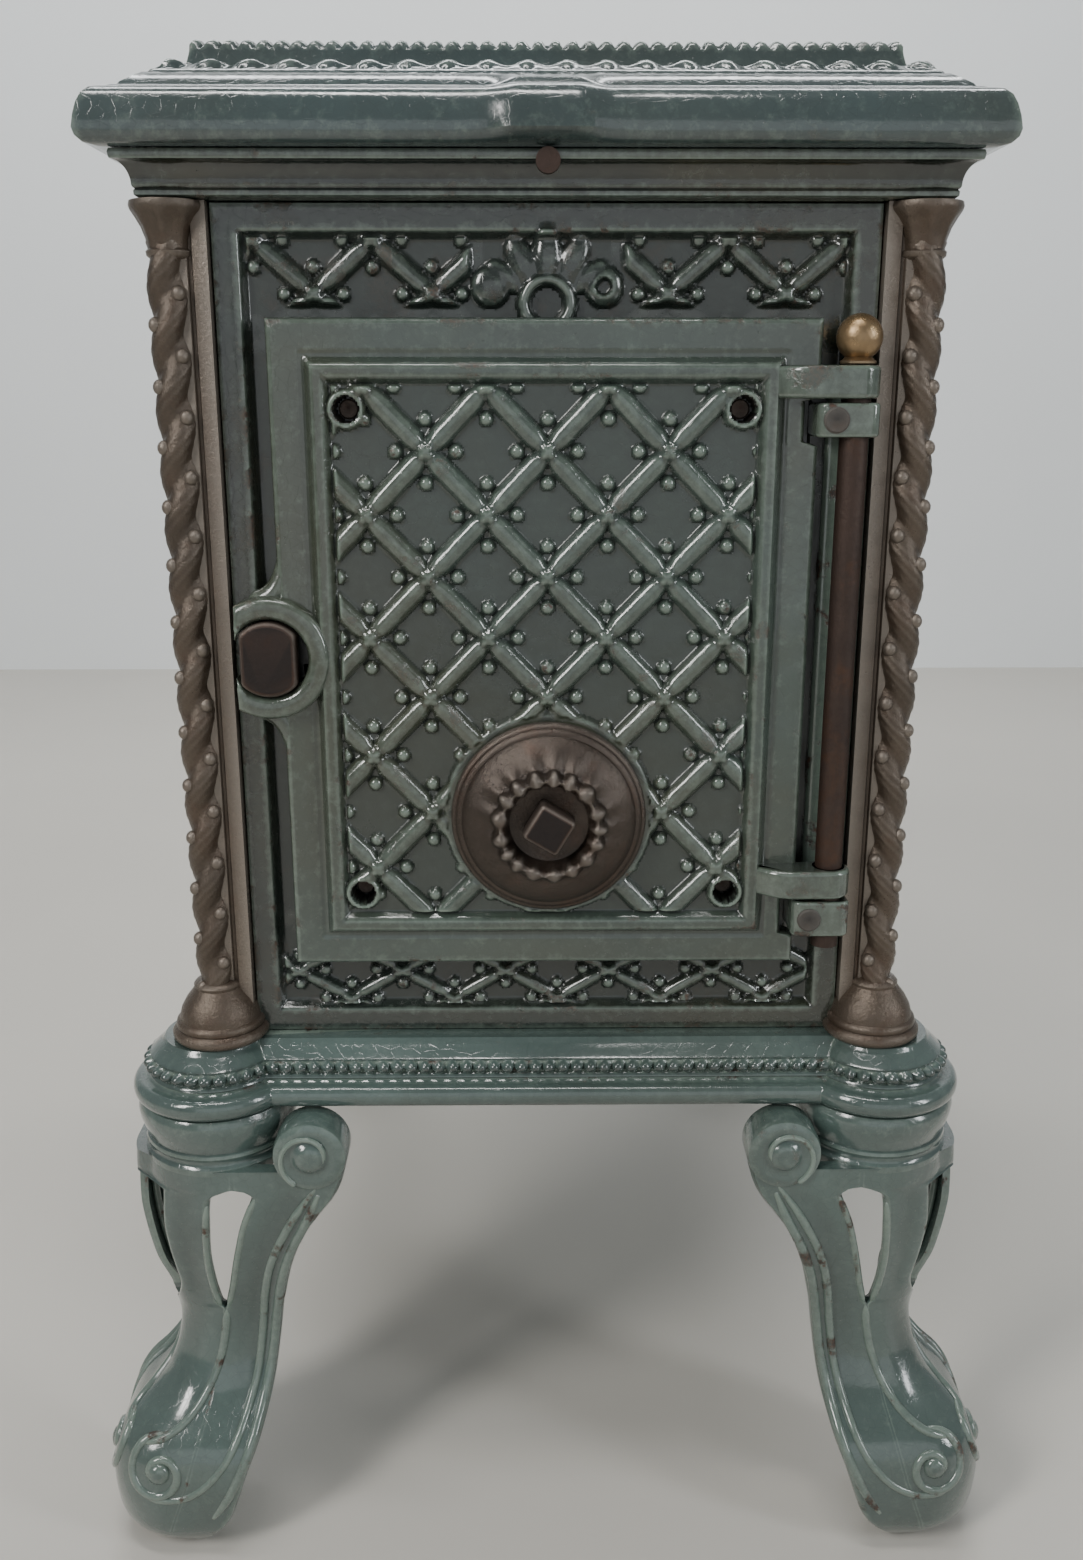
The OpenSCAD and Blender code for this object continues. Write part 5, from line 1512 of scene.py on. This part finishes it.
class STOVE_OT_ironwork(bpy.types.Operator):
    """Adds the air regulator, its stem, the latch spindle, the screws and the ball on the hinge"""

    bl_idname = "stove.ironwork"
    bl_label = "Ironwork"

    def execute(self, context):
        build_regulator()
        build_stem()
        build_spindle()
        build_screws()
        build_finial()
        return {"FINISHED"}


# ---- stage -------------------------------------------------------------------------


def add_light(name, place, target, size, power, tint):
    """A square soft light that points at a target."""
    light = bpy.data.lights.new(name, "AREA")
    light.shape = "RECTANGLE"
    light.size, light.size_y = size
    light.energy = power
    light.color = tint
    obj = bpy.data.objects.new(name, light)
    obj.location = place
    way = np.array(target) - np.array(place)
    obj.rotation_euler = Euler((math.atan2(math.hypot(way[0], way[1]), -way[2]), 0,
                                math.atan2(way[1], way[0]) - math.pi / 2))
    bpy.context.scene.collection.objects.link(obj)


class STOVE_OT_stage(bpy.types.Operator):
    """Adds the floor, the backdrop, the lights and the camera"""

    bl_idname = "stove.stage"
    bl_label = "Stage"

    def execute(self, context):
        scene = context.scene
        for name, corners, material in (
                ("stage_floor", [(-3, -2.5, 0), (3, -2.5, 0), (3, 1.6, 0), (-3, 1.6, 0)], "pale_floor"),
                ("stage_wall", [(-3, 1.6, 0), (3, 1.6, 0), (3, 1.6, 3), (-3, 1.6, 3)], "pale_wall")):
            mesh = bpy.data.meshes.new(name)
            mesh.from_pydata(corners, [], [(0, 1, 2, 3)])
            mesh.materials.append(bpy.data.materials[material])
            obj = bpy.data.objects.new(name, mesh)
            scene.collection.objects.link(obj)
        middle = (0, 0, 0.32)
        add_light("window_left", (-1.25, -1.35, 1.45), middle, (0.42, 1.0), 26, (1.0, 0.98, 0.95))
        add_light("window_right", (1.7, -1.1, 1.0), middle, (0.3, 1.0), 13, (0.95, 0.98, 1.0))
        add_light("ceiling", (-0.2, -0.5, 2.0), middle, (0.9, 0.14), 9, (1.0, 0.98, 0.96))
        add_light("backdrop", (0, 0.7, 2.3), (0, 1.6, 0.6), (1.8, 0.4), 30, (0.97, 0.99, 1.0))
        add_light("low_front", (0.3, -2.2, 0.5), middle, (2.4, 1.5), 7, (0.95, 0.98, 1.0))
        world = bpy.data.worlds.new("soft_room")
        world.use_nodes = True
        world.node_tree.nodes["Background"].inputs[0].default_value = (0.80, 0.84, 0.88, 1.0)
        world.node_tree.nodes["Background"].inputs[1].default_value = 0.31
        scene.world = world
        camera = bpy.data.cameras.new("camera")
        camera.lens = 31.9
        camera.sensor_width = 36
        obj = bpy.data.objects.new("camera", camera)
        obj.location = (-0.0072, -0.700, 0.4566)
        obj.rotation_euler = Euler((math.radians(74.16), 0, math.radians(-0.6)))
        scene.collection.objects.link(obj)
        scene.camera = obj
        return {"FINISHED"}


# ---- panel and registration --------------------------------------------------------


class STOVE_PT_sidebar(bpy.types.Panel):
    """Lists the stove's pieces"""

    bl_label = "Stove"
    bl_idname = "STOVE_PT_sidebar"
    bl_space_type = "VIEW_3D"
    bl_region_type = "UI"
    bl_category = "Stove"

    def draw(self, context):
        for group in (context.scene.stove_shape, context.scene.stove_colours):
            for key in group.__annotations__:
                self.layout.prop(group, key)
        for operator in PIECES:
            self.layout.operator(operator.bl_idname)


PIECES = (STOVE_OT_finishes, STOVE_OT_door, STOVE_OT_panels, STOVE_OT_base, STOVE_OT_pillars, STOVE_OT_top,
          STOVE_OT_ironwork, STOVE_OT_stage)
CLASSES = (StoveShape, StoveColours, *PIECES, STOVE_PT_sidebar)


def register():
    """Adds the classes and the two property groups."""
    for each in CLASSES:
        bpy.utils.register_class(each)
    bpy.types.Scene.stove_shape = bpy.props.PointerProperty(type=StoveShape)
    bpy.types.Scene.stove_colours = bpy.props.PointerProperty(type=StoveColours)


def unregister():
    """Takes them away again."""
    del bpy.types.Scene.stove_colours
    del bpy.types.Scene.stove_shape
    for each in reversed(CLASSES):
        bpy.utils.unregister_class(each)


def main():
    """Makes every piece and the stage."""
    register()
    bpy.ops.stove.finishes()
    bpy.ops.stove.door()
    bpy.ops.stove.panels()
    bpy.ops.stove.base()
    bpy.ops.stove.pillars()
    bpy.ops.stove.top()
    bpy.ops.stove.ironwork()
    bpy.ops.stove.stage()


if __name__ == "__main__":
    main()
